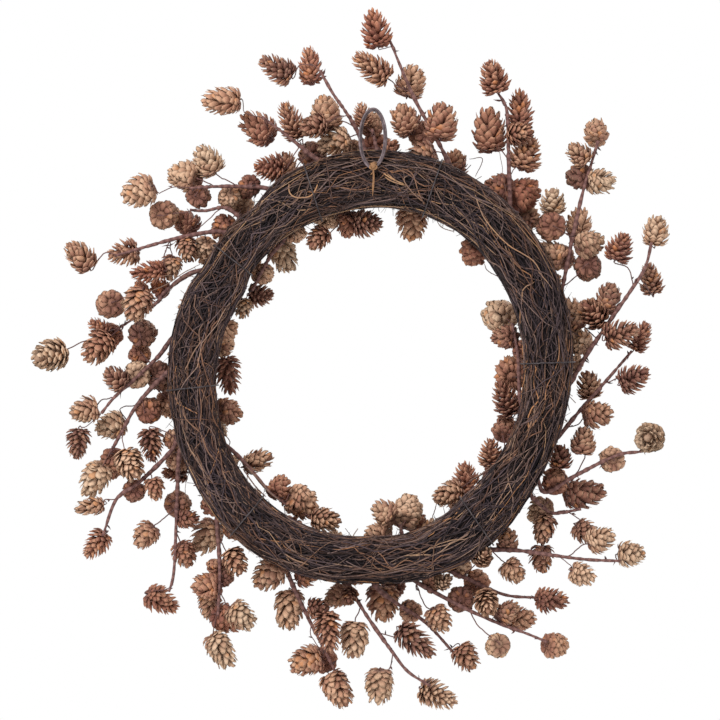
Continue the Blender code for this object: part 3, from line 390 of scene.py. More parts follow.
def strands(name, count, steps, walls, spans, slants, share, ends, thickness, curl, tones, chances, where):
    """Strands laid along the roll: each slants and curls over it, and its ends dip in or stand out."""
    one = (count, 1)
    way = np.linspace(0, 1, steps)
    span = chance.uniform(*spans, one)
    first = np.radians(chance.uniform(*where, one))
    around = first + span * (way - 0.5)
    wild = chance.random(one) < WILD_SHARE
    slant = chance.normal(0, slants, one) * np.where(wild, WILD_SLANT, 1)
    turn = chance.uniform(0, math.tau, one) + slant * span * (way - 0.5)
    for length in WAVE_LENGTHS:
        waves = span / length * chance.uniform(*WAVE_CHANCE, one)
        size = chance.normal(0, curl * length ** WAVE_FALL, one)
        phase = math.tau * waves * way + chance.uniform(0, math.tau, one)
        turn = turn + size * np.sin(phase)
        around = around + WAVE_ALONG * size * np.cos(phase)
    deep = chance.uniform(*share, one)
    deep = deep + SWELL * np.sin(math.tau * SWELL_TURNS * way + chance.uniform(0, 6, one))
    for end in (0, 1):
        deep = deep + chance.uniform(*ends, one) * np.clip(1 - np.abs(way - end) / STRAND_END, 0, 1) ** 2
    taper = 0.45 + 0.55 * np.minimum(1, 5 * (1 - way))
    radii = chance.uniform(*thickness, one) * taper * chance.uniform(*THICKNESS_CHANCE, (count, steps))
    points, faces = tubes(roll_place(around, turn, deep), radii, walls)
    tone = chance.choice(tones, one, p=chances) + chance.normal(0, TONE_CHANCE, one)
    # Painted shade, with some dust: a strand is darker the deeper it lies in the roll.
    tone = tone - DEEP_SHADE_AND_DUST * np.clip(1.0 - deep, 0, DEEPEST)
    hue = np.repeat(chance.uniform(0, 1, count), steps * walls)
    return piece(name, points, faces, {"tone": np.repeat(tone.reshape(-1), walls), "hue": hue}, dark_twig)


for layer in LAYERS:
    ring_pieces.append(strands(*layer))


def back_of_roll(right, up, share):
    """A point on the roll's back, over a place in squares. Beside the roll it is at the middle depth."""
    around = np.arctan2(up, right)
    reach, half = roll_edges(around)
    wide = np.clip(np.abs(np.hypot(right, up) * SQUARE - reach) / (share * half), 0, 1)
    deep = (1 - wide ** (2 / ROLL_SQUARENESS)) ** (ROLL_SQUARENESS / 2)
    return np.stack([RING_CENTRE.x + right * SQUARE, RING_CENTRE.y - share * RING_HALF_DEPTH * deep,
                     RING_CENTRE.z + up * SQUARE], axis=-1)


def curve_through(places, steps, closed=False):
    """A smooth curve through places, cut into even shares of each stretch."""
    places = np.array([tuple(place) for place in places])
    if closed:
        padded = np.concatenate([places[-1:], places, places[:2]])
    else:
        padded = np.concatenate([2 * places[:1] - places[1:2], places, 2 * places[-1:] - places[-2:-1]])
    stretches = len(padded) - 3
    lengths = np.linalg.norm(np.diff(padded[1:stretches + 2], axis=0), axis=1)
    reached = np.concatenate([[0], np.cumsum(lengths)])
    spots = np.linspace(0, reached[-1], steps)
    index = np.clip(np.searchsorted(reached, spots, side="right") - 1, 0, stretches - 1)
    share = ((spots - reached[index]) / lengths[index])[:, None]
    before, here, there, after = (padded[index + shift] for shift in range(4))
    squared = (2 * before - 5 * here + 4 * there - after) * share ** 2
    cubed = (3 * here - before - 3 * there + after) * share ** 3
    return 0.5 * (2 * here + (there - before) * share + squared + cubed)


routes = []
radii = []
twig_tones = []
way = np.linspace(0, 1, TWIG_STEPS)
for thickness, tone, places in LAID_TWIGS:
    flat = curve_through([(right, up, 0) for right, up in places], TWIG_STEPS)
    flat = flat + np.cumsum(chance.normal(0, TWIG_KINKS, flat.shape), axis=0)
    routes.append(back_of_roll(flat[:, 0], flat[:, 1], TWIG_LIFT - TWIG_DIP * np.abs(2 * way - 1) ** 6))
    radii.append(thickness / 2000 * (0.6 + 0.4 * np.minimum(1, 6 * way * (1 - way))))
    twig_tones.append(np.full(TWIG_STEPS * TWIG_WALLS, tone))
points, faces = tubes(np.array(routes), np.array(radii), TWIG_WALLS)
marks = {"tone": np.concatenate(twig_tones), "hue": np.full(len(points), TWIG_HUE)}
ring_pieces.append(piece("laid_twigs", points, faces, marks, dark_twig))
for made in ring_pieces:
    fit(made, "twig_ring")

# Hanging loop
# Two turns of stout wire in a dull mauve-brown coat, bent to a tall ring that stands on the roll's top. Its
# two ends meet at the bottom, where the raffia holds them down.
LOOP_HALF_WIDTH = 0.0092
LOOP_HALF_HEIGHT = 0.0264
LOOP_TAPER = 0.0034
LOOP_SPREAD = 0.0015
LOOP_DROP = 0.0010
LOOP_WIRE_RADIUS = 0.0009
LOOP_PITCH = 0.0026
LOOP_TURNS = 2
LOOP_STEPS = 60
LOOP_SIDES = 12
LOOP_FOOT_DEPTH = 0.0022

route = []
for step in range(LOOP_TURNS * LOOP_STEPS + 1):
    turn = step / LOOP_STEPS
    angle = math.tau * turn - math.pi / 2
    reach = LOOP_HALF_WIDTH + LOOP_SPREAD * turn
    rise = LOOP_HALF_HEIGHT - LOOP_TAPER + LOOP_SPREAD * turn
    route.append(Vector((reach * math.cos(angle), LOOP_PITCH * (1 - turn),
                         LOOP_WIRE_RADIUS - LOOP_HALF_HEIGHT - LOOP_DROP + rise * math.sin(angle))))
loop_foot = route[0] - Vector((0, LOOP_FOOT_DEPTH, LOOP_TAPER - LOOP_DROP))

coated_wire, shader, start, spot = finish("coated_wire", 0.5)
fine = start.grain(spot, 0.0005)
wear(shader, start.grain(spot, 0.004).ramp(((0.3, (0.052, 0.033, 0.036)), (0.5, (0.092, 0.063, 0.068)),
                                            (0.7, (0.190, 0.140, 0.148)))),
     0.38 + 0.3 * fine, fine, 0.35, 0.0002)
route = np.array([tuple(place) for place in route])
points, faces = tubes(route[None], np.full((1, len(route)), LOOP_WIRE_RADIUS), LOOP_SIDES)
fit(piece("loop_wire", points, faces, {}, coated_wire), "hanging_loop")

# Raffia tie
# A twist of orange-brown raffia goes round the loop's foot, is knotted over it, and leaves one long end lying
# down the roll.
RAFFIA_TURNS = 7
RAFFIA_STEPS = 60
RAFFIA_RADIUS = 0.0008
RAFFIA_WALLS = 6
# The band is a row of strands round the foot, the knot lies over it and the ends hang from the knot. Each
# place is counted from the foot: beside it, behind it or above it.
BAND_STEP = 0.0007
BAND_SWAY = 0.0010
BAND_DEPTHS = (0.0034, 0.0038)
BAND_HEIGHT = 0.0029
BAND_FALL = 0.0003
BAND_BACK = 0.0012
BAND_UP = 0.0018
KNOT_TURNS = 1.2
KNOT_WIDTH = 0.0029
KNOT_HEIGHT = 0.0019
KNOT_UP = 0.0006
KNOT_BUMPS = 0.0006
KNOT_BACK = 0.0040
END_LEANS = 0.0034
END_DOWN = 0.001
END_BENDS = 4.4
END_THINNER = 0.62
# Each end of the raffia: how far it sways, how long it is and how far beside the knot's middle it starts.
RAFFIA_ENDS = ((0.0006, 0.0225, 0.0001), (0.0004, 0.019125, -0.0004), (0.0010, 0.0050, -0.0012))

raffia, shader, start, spot = finish("raffia", 0.75)
fibre = start.grain(start.node("Mapping", {}, {"Vector": spot, "Scale": (1, 1, 0.12)}), 0.0004)
wear(shader, fibre.ramp(((0.25, (0.085, 0.035, 0.015)), (0.5, (0.235, 0.112, 0.046)),
                         (0.8, (0.470, 0.265, 0.125)))), None, fibre, 0.6, 0.0003)
way = np.linspace(0, 1, RAFFIA_STEPS)
turn = math.tau * way
across, deep, tall = loop_foot
routes = []
for index in range(RAFFIA_TURNS):
    aside = index - (RAFFIA_TURNS - 1) / 2
    high = BAND_HEIGHT - BAND_FALL * abs(aside)
    routes.append((across + aside * BAND_STEP + BAND_SWAY * np.sin(turn + 0.5 * aside),
                   deep - BAND_BACK + BAND_DEPTHS[index % 2] * np.cos(turn),
                   tall + BAND_UP + high * np.sin(turn + 0.1 * aside)))
turn = turn * KNOT_TURNS
routes.append((across + KNOT_WIDTH * np.cos(turn), deep - KNOT_BACK + KNOT_BUMPS * np.sin(3 * turn),
               tall + KNOT_UP + KNOT_HEIGHT * np.sin(turn)))
for sway, drop, side in RAFFIA_ENDS:
    routes.append((across + side + sway * np.sin(way * END_BENDS), deep - KNOT_BACK + END_LEANS * way ** 0.5,
                   tall - END_DOWN - drop * way))
routes = np.array(routes).transpose(0, 2, 1)
radii = np.full(routes.shape[:2], RAFFIA_RADIUS) * (1 - 0.45 * np.clip(way * 5 - 4, 0, 1))
radii[-len(RAFFIA_ENDS):] *= END_THINNER
points, faces = tubes(routes, radii, RAFFIA_WALLS)
fit(piece("raffia_knot", points, faces, {}, raffia), "loop_tie")

# Wire ties
# Thin dark iron wires go once round the roll, over the spray stems on its front, and hold the stems down.
# Each is drawn round the uneven roll, and a little bent.
TIE_ANGLES = (2, 71, 108, 141.5, 186, 230, 305)
TIE_RADIUS = 0.0007
TIE_SLACK = 0.0014
TIE_SHOULDER = 0.010
TIE_FRONT_HALF = 0.58
TIE_RISE = 1.035
TIE_THINNER = 0.9
TIE_BENDS = 0.00012
TIE_STEPS = 90
TIE_WALLS = 7
QUARTER_PROFILE = ((0.2, 1.0), (0.54, 0.92), (0.83, 0.64), (1.0, 0.24))
STEM_SIDES = 5
ROOT_RADIUS = 0.0021
BUNCH_STEM_RADIUS = 0.0017
FLAT_SIDE = math.cos(math.pi / STEM_SIDES)
SEAT = RING_HALF_DEPTH + GAP
ROOT_DEPTH = SEAT + ROOT_RADIUS * FLAT_SIDE
BUNCH_DEPTH = ROOT_DEPTH + ROOT_RADIUS + GAP + BUNCH_STEM_RADIUS * FLAT_SIDE
TIE_FRONT = BUNCH_DEPTH + BUNCH_STEM_RADIUS + GAP + TIE_RADIUS


def tie_route(angle):
    """A wire tie's way round the even ring: close to its back and sides, and over the stems on its front."""
    half = ring_half_width(angle)
    corners = []
    for outward, depth in QUARTER_PROFILE:
        corners.append((outward * half + TIE_SLACK * outward, -depth * (SEAT + TIE_RADIUS)))
    corners.append((half + TIE_SLACK, TIE_SHOULDER))
    corners.append((TIE_FRONT_HALF * half, TIE_FRONT))
    route = [on_ring(angle, outward, depth) for outward, depth in corners]
    return route + [on_ring(angle, -outward, depth) for outward, depth in reversed(corners)]


tie_wire, shader, start, spot = finish("tie_wire", 0.45)
rust = start.grain(spot, 0.003)
wear(shader, rust.ramp(((0.35, (0.035, 0.028, 0.030)), (0.6, (0.075, 0.062, 0.066)),
                        (0.8, (0.120, 0.080, 0.060)))), 0.4 + 0.3 * rust)
shader.inputs["Metallic"].default_value = 0.6
for number, degrees in enumerate(TIE_ANGLES, 1):
    angle = math.radians(degrees)
    middle = np.array(on_ring(angle, 0, 0))
    route = curve_through(tie_route(angle), TIE_STEPS, closed=True)
    outwards = np.array((math.cos(angle), 0, math.sin(angle)))
    reach, half = roll_edges(angle)
    moved = (route - middle) @ outwards * (half / ring_half_width(angle) - 1) + reach - ring_radius(angle)
    route = middle + (route - middle) * TIE_RISE + moved[:, None] * outwards
    route = route + chance.normal(0, TIE_BENDS, route.shape)
    points, faces = tubes(route[None], np.full((1, TIE_STEPS), TIE_RADIUS * TIE_THINNER), TIE_WALLS)
    fit(piece(f"tie_{number}", points, faces, {}, tie_wire), f"wire_tie_{number}")

# Sprays and bunches
# Small larch cones, each on a thin wire, gathered on stems of stouter wire that are wound with mauve-brown
# paper. Each stem's root lies on the roll's front under the wire ties, and short bunches hide the roots.
# The stems and wires, how a cone leans and how far behind its stem it lies, and the depths and small steps
# aside that it may take to clear what is laid before it.
STEM_TIP_RADIUS = 0.0012
STEM_RISE = 0.045
WIRE_RADIUS = 0.0008
WIRE_STUB = 0.0035
WIRE_SLANT = 0.3
SHORTEST_WIRE = 0.0025
STRAIGHT_TURN = math.radians(50)
SHARPEST_TURN = math.radians(118)
END_MARGIN = 0.002
TILT = (-14, 18)
SWING = 0.34
END_ON_TILT = 74
BEHIND_STEM = 0.46
DEPTH_CHANCE = (-0.003, 0.006)
OWN_OVERLAP = 0.12
CLEARANCE = 0.0007
LOWEST_DEPTH = -0.010
HIGHEST_DEPTH = 0.058
DEPTH_STEP = 0.002
DEPTH_STEPS = 30
SIDESTEPS = (0, 0.003, 0.006, 0.009)
COMPASS = 8
RING_ROD_STEPS = 48
SIDE_ROD_OFFSET = 0.34
SIDE_ROD_RADIUS = 0.7
BUNCHES = 8
BUNCH_CONES = 6
BUNCH_ARC = math.radians(38)
BUNCH_START = math.radians(22)
BUNCH_SPREAD = 0.0125
BUNCH_CONE_LENGTH = 29
BUNCH_CONE_WIDTH = 25
BUNCH_TONES = "fbtlbF"
# The tone and the warmth of a cone, by letter: dark, reddish, brown, fawn, tan and light.
PAINTS = {"d": (0.20, 0.35), "r": (0.30, 0.85), "b": (0.42, 0.45), "f": (0.6, 0.35), "t": (0.76, 0.2),
          "l": (0.92, 0.1)}

# Layout of the sprays, in squares right of and above the ring's centre. A spray has the depth of its tip in
# millimetres, a letter for each cone, its stem from the root on the ring to the tip, and its cones. A capital
# letter stands for a cone whose scales are narrow and stand open. A cone's row is right, up, heading of its
# tip in degrees, length, width and, where its wire takes a route of its own, the route from the cone to the
# stem. A cone whose heading is BASE shows its base from the back, TIP shows its tip, and AWAY points away
# from its stem.
BASE, TIP, AWAY = "base", "tip", "away"

SPRAYS = {
    "spray_01": (10, "DRtbl", ((2, 190), (-5, 217), (-12, 236), (-25, 257), (-37, 274), (-50, 297)), (
        (-95, 300, 150, 37, 27, ((-70, 302), (-57, 301), (-50, 297))), (-60, 305, 95, 39, 24),
        (-45, 258, 100, 35, 32, ((-30, 247), (-20, 244), (-13, 234))), (-58, 241, AWAY, 26, 26),
        (-38, 226, 200, 34, 28))),
    "spray_02": (24, "tbBdRb", ((-36, 186), (-45, 204), (-60, 214), (-80, 231), (-108, 252)), (
        (-151, 268, 183, 40, 27, ((-125, 256), (-108, 252))), (-115, 245, 140, 38, 30),
        (-80, 250, 112, 40, 24, ((-68, 230), (-64, 218))), (-60, 216, AWAY, 30, 26),
        (-103, 201, 178, 30, 28), (-80, 203, 90, 26, 24))),
    "spray_03": (14, "tfldld", ((-78, 168), (-102, 180), (-125, 182), (-150, 182), (-180, 180)), (
        (-233, 176, 200, 33, 32, ((-210, 175), (-197, 181), (-180, 180))),
        (-188, 194, AWAY, 33, 30, ((-173, 191), (-155, 183))),
        (-164, 210, AWAY, 32, 29, ((-150, 192), (-130, 183))), (-170, 173, BASE, 26, 24),
        (-142, 170, AWAY, 24, 22), (-123, 181, AWAY, 28, 22))),
    "spray_04": (26, "fdbl", ((-115, 140), (-128, 150), (-145, 161), (-165, 158), (-180, 159)), (
        (-205, 155, BASE, 30, 28), (-187, 149, AWAY, 26, 26, ((-170, 142), (-150, 160))),
        (-149, 140, AWAY, 26, 24), (-128, 166, AWAY, 26, 22))),
    "spray_05": (12, "fFRfbl", ((-132, 124), (-148, 137), (-185, 132), (-225, 121), (-252, 113)), (
        (-290, 114, 130, 34, 27, ((-265, 115), (-252, 113))), (-250, 116, 190, 31, 27),
        (-223, 96, 185, 36, 22, ((-206, 108), (-199, 128))), (-200, 99, AWAY, 25, 22),
        (-182, 117, AWAY, 25, 22), (-167, 117, AWAY, 25, 24))),
    "spray_06": (22, "rrbfdRbfl", ((-150, 100), (-178, 96), (-205, 77), (-213, 66), (-238, 49), (-252, 40)), (
        (-230, 80, AWAY, 20, 18), (-212, 82, AWAY, 20, 18),
        (-260, 64, BASE, 30, 27, ((-240, 72), (-209, 72))), (-231, 61, 250, 33, 30),
        (-227, 37, BASE, 32, 26), (-272, 42, 140, 24, 20), (-261, 34, AWAY, 24, 24),
        (-273, 19, AWAY, 34, 29), (-310, 13, AWAY, 34, 31, ((-291, 25), (-258, 40))))),
    "spray_07": (10, "blddtD", ((-172, 50), (-195, 34), (-210, 14), (-230, -6), (-254, -28), (-267, -44)), (
        (-232, 13, BASE, 26, 22), (-234, -6, AWAY, 27, 26), (-255, -8, AWAY, 25, 25),
        (-208, -9, AWAY, 30, 28), (-286, -42, AWAY, 28, 27, ((-267, -31), (-254, -28))),
        (-291, -76, 265, 31, 24, ((-284, -58), (-267, -44))))),
    "spray_08": (22, "lbfbll", ((-178, 12), (-205, -6), (-232, -35), (-248, -63), (-261, -87)), (
        (-262, -58, 200, 30, 28, ((-250, -40), (-233, -36))), (-220, -41, BASE, 28, 26),
        (-203, -38, AWAY, 28, 24), (-257, -97, AWAY, 30, 26), (-276, -113, 240, 38, 28),
        (-237, -97, AWAY, 31, 29, ((-246, -73), (-246, -60))))),
    "spray_09": (12, "fdfBDt",
                 ((-182, -46), (-192, -64), (-198, -81), (-230, -113), (-252, -129), (-266, -166)), (
        (-280, -137, 190, 30, 18, ((-264, -130), (-252, -129))), (-236, -123, AWAY, 24, 22),
        (-214, -121, AWAY, 24, 20), (-275, -177, 230, 32, 24),
        (-218, -78, 275, 34, 24, ((-205, -62), (-194, -68))), (-197, -70, AWAY, 20, 20))),
    "spray_10": (26, "DfbdbbB",
                 ((-172, -60), (-181, -70), (-190, -81), (-193, -136), (-196, -201), (-201, -223)), (
        (-196, -107, 180, 26, 22), (-195, -91, AWAY, 22, 22), (-192, -135, AWAY, 28, 26),
        (-180, -150, AWAY, 22, 20), (-226, -168, AWAY, 27, 26, ((-202, -146), (-193, -136))),
        (-185, -188, AWAY, 26, 24, ((-190, -174), (-194, -160))), (-208, -235, 330, 36, 27))),
    "spray_11": (12, "ffbbdbrttbb", ((-147, -116), (-153, -136), (-150, -191), (-150, -216), (-151, -246)), (
        (-167, -172, 235, 37, 30), (-133, -194, AWAY, 27, 25, ((-143, -183), (-151, -165))),
        (-165, -216, AWAY, 30, 27), (-161, -239, 270, 28, 24), (-144, -208, AWAY, 20, 18),
        (-156, -198, AWAY, 20, 18), (-140, -251, AWAY, 32, 28),
        (-126, -247, AWAY, 31, 27, ((-142, -234), (-150, -218))), (-147, -282, 300, 38, 26),
        (-133, -161, AWAY, 26, 24), (-158, -137, AWAY, 24, 24))),
    "spray_12": (24, "frtdBbbf", ((-88, -172), (-83, -201), (-67, -238), (-50, -272), (-35, -302)), (
        (-103, -207, 225, 34, 32), (-62, -207, AWAY, 22, 22),
        (-81, -244, 270, 40, 31, ((-75, -224), (-77, -212))), (-50, -239, AWAY, 22, 22),
        (-41, -262, 280, 40, 27), (-66, -293, 200, 34, 30, ((-59, -266), (-59, -254))),
        (-48, -292, AWAY, 28, 26), (-31, -323, 300, 38, 29))),
    "spray_13": (10, "TtDbdt", ((-34, -190), (-25, -209), (-5, -243), (22, -281), (38, -301), (60, -315)), (
        (70, -327, 338, 39, 27), (9, -319, 268, 36, 28, ((17, -302), (23, -282))),
        (47, -271, 322, 45, 27, ((26, -266), (9, -262))), (-34, -229, 210, 28, 26),
        (-21, -227, AWAY, 18, 18), (-16, -272, 265, 37, 28, ((-15, -250), (-10, -236))))),
    "spray_14": (26, "bbDf", ((-6, -190), (5, -216), (25, -233), (55, -253), (83, -283)), (
        (97, -290, 300, 28, 26), (13, -238, 270, 37, 33), (22, -218, AWAY, 26, 24),
        (40, -242, AWAY, 24, 22))),
    "spray_15": (14, "fdftdflf",
                 ((14, -189), (35, -206), (90, -236), (130, -254), (155, -263), (177, -272)), (
        (187, -276, AWAY, 26, 25), (138, -241, AWAY, 27, 22), (154, -251, 0, 28, 25),
        (126, -276, BASE, 28, 24, ((108, -256), (98, -240))), (91, -230, AWAY, 28, 26),
        (64, -211, AWAY, 20, 20), (75, -211, AWAY, 18, 16),
        (70, -251, AWAY, 27, 26, ((55, -236), (44, -211))))),
    "spray_16": (28, "Dftlt", ((48, -180), (70, -197), (100, -211), (135, -226), (168, -229)), (
        (184, -231, 355, 33, 25), (108, -213, AWAY, 26, 26), (116, -234, AWAY, 28, 24),
        (93, -198, AWAY, 22, 20), (112, -184, AWAY, 22, 20))),
    "spray_17": (12, "ldlfbt", ((80, -166), (108, -179), (150, -181), (210, -189), (249, -191)), (
        (263, -185, 0, 27, 27), (172, -192, 270, 28, 24),
        (213, -205, AWAY, 26, 23, ((200, -196), (185, -186))),
        (144, -203, AWAY, 25, 25, ((132, -192), (118, -180))), (138, -169, AWAY, 24, 22),
        (232, -169, AWAY, 28, 26, ((212, -175), (196, -187))))),
    "spray_18": (26, "dtbb", ((144, -106), (165, -131), (182, -144), (211, -140)), (
        (218, -125, 5, 42, 30), (169, -144, AWAY, 28, 26), (173, -162, AWAY, 30, 24),
        (218, -165, AWAY, 25, 24, ((210, -151), (196, -143))))),
    "spray_19": (12, "ltbbd", ((151, -88), (166, -106), (175, -123), (205, -106), (245, -86), (271, -82)), (
        (276, -68, TIP, 29, 28), (241, -90, AWAY, 26, 25), (186, -110, AWAY, 28, 26),
        (213, -70, AWAY, 28, 26, ((214, -88), (203, -107))), (190, -86, AWAY, 24, 24))),
    "spray_20": (26, "DDbf", ((166, -66), (176, -72), (185, -71), (205, -47), (235, -13), (262, 18)), (
        (272, 34, 65, 32, 22), (264, -8, 25, 32, 28, ((249, -9), (233, -15))), (220, -14, 100, 28, 26),
        (230, -45, 10, 30, 27, ((208, -55), (195, -60))))),
    "spray_21": (12, "lDBdBbfll", ((176, -36), (195, -21), (218, 17), (260, 79), (274, 102), (280, 126)), (
        (286, 140, 85, 30, 26), (250, 123, 70, 30, 28, ((257, 100), (260, 82))), (279, 88, 100, 33, 24),
        (239, 73, 75, 31, 26, ((233, 50), (230, 35))), (251, 36, 20, 36, 28), (220, 57, AWAY, 30, 26),
        (203, 58, AWAY, 32, 28), (207, 31, AWAY, 30, 26), (203, 7, AWAY, 18, 18))),
    "spray_22": (24, "tfdllbftdfd", ((176, 46), (190, 74), (200, 121), (212, 174), (222, 208), (228, 228)), (
        (227, 239, AWAY, 28, 24), (207, 216, AWAY, 26, 24), (208, 193, AWAY, 28, 25), (233, 188, 5, 29, 25),
        (183, 170, 95, 26, 25, ((192, 152), (200, 124))), (179, 143, BASE, 28, 28), (211, 149, 85, 31, 26),
        (222, 126, AWAY, 29, 27), (219, 101, BASE, 28, 27, ((205, 92), (192, 80))), (181, 116, AWAY, 32, 27),
        (193, 111, AWAY, 30, 24))),
    "spray_23": (12, "BRrbFdrF", ((138, 130), (140, 147), (138, 209), (136, 257), (127, 275)), (
        (122, 292, 108, 34, 30), (150, 262, 90, 41, 25), (119, 242, 95, 45, 33, ((126, 222), (137, 208))),
        (151, 234, AWAY, 26, 24), (157, 218, 70, 35, 32, ((146, 202), (139, 189))), (127, 182, AWAY, 32, 26),
        (156, 177, AWAY, 38, 34), (160, 151, AWAY, 28, 26))),
    "spray_24": (24, "RFfbbbbb", ((88, 172), (82, 197), (68, 227), (45, 269), (29, 306), (20, 328)), (
        (5, 342, 102, 39, 30), (0, 303, 145, 43, 27, ((26, 284), (42, 274))), (42, 292, 75, 33, 31),
        (34, 252, 120, 32, 30), (51, 235, AWAY, 26, 26), (71, 247, 85, 37, 33), (48, 211, AWAY, 34, 28),
        (86, 209, 80, 28, 27))),
    "spray_25": (30, "Ffrtb", ((16, 190), (10, 205), (6, 222), (2, 240)), (
        (-8, 256, 100, 24, 20), (3, 248, AWAY, 26, 24), (5, 226, AWAY, 28, 28), (-20, 222, AWAY, 18, 18),
        (22, 222, AWAY, 18, 18))),
    "inner_spray_1": (24, "rDlb", ((-18, 186), (-15, 172), (-14, 161)), (
        (-23, 143, AWAY, 26, 24), (0, 145, 0, 28, 28), (-45, 151, AWAY, 28, 24),
        (-53, 128, AWAY, 25, 22, ((-40, 136), (-20, 152))))),
    "inner_spray_2": (22, "lttDt", ((-98, 157), (-90, 144), (-86, 130), (-100, 112), (-118, 78)), (
        (-87, 117, 300, 38, 30), (-73, 136, AWAY, 24, 20), (-106, 96, AWAY, 24, 22), (-108, 74, 0, 25, 25),
        (-127, 59, AWAY, 20, 18))),
    "inner_spray_3": (24, "ttDbl", ((-177, 30), (-165, 22), (-157, 8), (-156, -15), (-152, -40)), (
        (-144, 40, AWAY, 26, 26), (-146, 25, AWAY, 22, 22), (-143, -9, 280, 39, 27),
        (-140, -44, AWAY, 28, 25), (-147, -62, AWAY, 14, 12))),
    "inner_spray_4": (20, "fbtt",
                 ((-164, -70), (-150, -74), (-138, -81), (-118, -102), (-100, -123), (-82, -137)), (
        (-111, -92, 20, 32, 22), (-90, -117, AWAY, 24, 24), (-66, -136, AWAY, 36, 31),
        (-42, -158, AWAY, 29, 24))),
    "inner_spray_5": (22, "tfld", ((30, -182), (32, -168), (30, -155)), (
        (6, -166, AWAY, 26, 26), (13, -142, AWAY, 27, 26), (38, -140, AWAY, 34, 30),
        (47, -154, AWAY, 24, 20))),
    "inner_spray_6": (24, "fBBd", ((128, -128), (122, -114), (114, -102)), (
        (76, -126, AWAY, 30, 26, ((92, -118), (114, -103))), (97, -111, 100, 37, 30),
        (121, -82, AWAY, 28, 26), (131, -66, AWAY, 26, 26, ((134, -84), (118, -107))))),
    "inner_spray_7": (22, "DFDlb", ((170, -50), (158, -46), (150, -30), (148, 12), (142, 46)), (
        (136, -38, 110, 38, 28), (139, -6, AWAY, 34, 34), (133, 32, AWAY, 30, 24), (128, 54, AWAY, 36, 33),
        (155, 19, AWAY, 20, 20))),
    "inner_spray_8": (24, "r", ((112, 152), (104, 140), (102, 126)), (
        (104, 116, AWAY, 30, 28),)),
    "inner_spray_9": (24, "f", ((44, 186), (44, 170), (42, 160)), (
        (42, 143, 270, 33, 32),)),
}


def smooth(value):
    """Ease from 0 to 1."""
    value = min(1.0, max(0.0, value))
    return value * value * (3 - 2 * value)


def segment_gap(start_a, end_a, start_b, end_b):
    """Shortest distance between two straight segments."""
    run_a = end_a - start_a
    run_b = end_b - start_b
    between = start_a - start_b
    length_a = max(run_a.dot(run_a), 1e-12)
    length_b = max(run_b.dot(run_b), 1e-12)
    mixed = run_a.dot(run_b)
    lead_a = run_a.dot(between)
    lead_b = run_b.dot(between)
    spread = length_a * length_b - mixed * mixed
    share_a = 0.0
    if spread > 1e-14:
        share_a = min(1.0, max(0.0, (mixed * lead_b - lead_a * length_b) / spread))
    share_b = min(1.0, max(0.0, (mixed * share_a + lead_b) / length_b))
    share_a = min(1.0, max(0.0, (mixed * share_b - lead_a) / length_a))
    return (between + run_a * share_a - run_b * share_b).length


class Rod:
    """A round-ended rod that stands for a stretch of stem or wire, or for a cone, while depths are chosen."""

    def __init__(self, owner, start, end, radius, is_cone=False):
        self.owner = owner
        self.start = start
        self.end = end
        self.radius = radius
        self.is_cone = is_cone

    def touches(self, low, high):
        """Whether the rod comes near a box as seen from the back."""
        reach = self.radius + CLEARANCE
        for axis in (0, 2):
            if min(self.start[axis], self.end[axis]) > high[axis] + reach:
                return False
            if max(self.start[axis], self.end[axis]) < low[axis] - reach:
                return False
        return True

    def room(self, other):
        """Room to spare between two rods: below zero they are too close."""
        gap = segment_gap(self.start, self.end, other.start, other.end) - self.radius - other.radius
        if self.owner != other.owner:
            return gap - CLEARANCE
        if self.is_cone or other.is_cone:
            return gap + OWN_OVERLAP * max(self.radius, other.radius)
        return 1.0


def rods_along(owner, route, radius):
    """Rods for each stretch of a route."""
    return [Rod(owner, start, end, radius) for start, end in zip(route, route[1:])]


def stem_route(points, tip_depth):
    """A stem lies flat on the ring's front, then leaves it for its own depth."""
    route = []
    for right, up in points:
        angle = math.atan2(up, right)
        outward = math.hypot(right, up) * SQUARE - ring_radius(angle)
        clear_of_ring = abs(outward) - ring_half_width(angle)
        share = smooth(clear_of_ring / STEM_RISE)
        route.append(on_layout(right, up, ROOT_DEPTH + share * (tip_depth - ROOT_DEPTH)))
    return route


def nearest_on(route, place):
    """The point of a route nearest a place as seen from the back, and its distance along the route."""
    best = None
    walked = 0.0
    for start, end in zip(route, route[1:]):
        run = end - start
        flat = Vector((run.x, 0, run.z))
        offset = Vector((place.x - start.x, 0, place.z - start.z))
        share = min(1.0, max(0.0, offset.dot(flat) / max(flat.dot(flat), 1e-12)))
        found = start + run * share
        away = math.hypot(place.x - found.x, place.z - found.z)
        if best is None or away < best[0]:
            best = (away, found, walked + run.length * share)
        walked += run.length
    return best


def point_along(route, distance):
    """The point at a distance along a route, kept off its two ends."""
    total = sum((end - start).length for start, end in zip(route, route[1:]))
    distance = min(max(distance, END_MARGIN), total - END_MARGIN)
    for start, end in zip(route, route[1:]):
        run = (end - start).length
        if distance <= run:
            return start.lerp(end, distance / run)
        distance -= run
    return route[-1].copy()


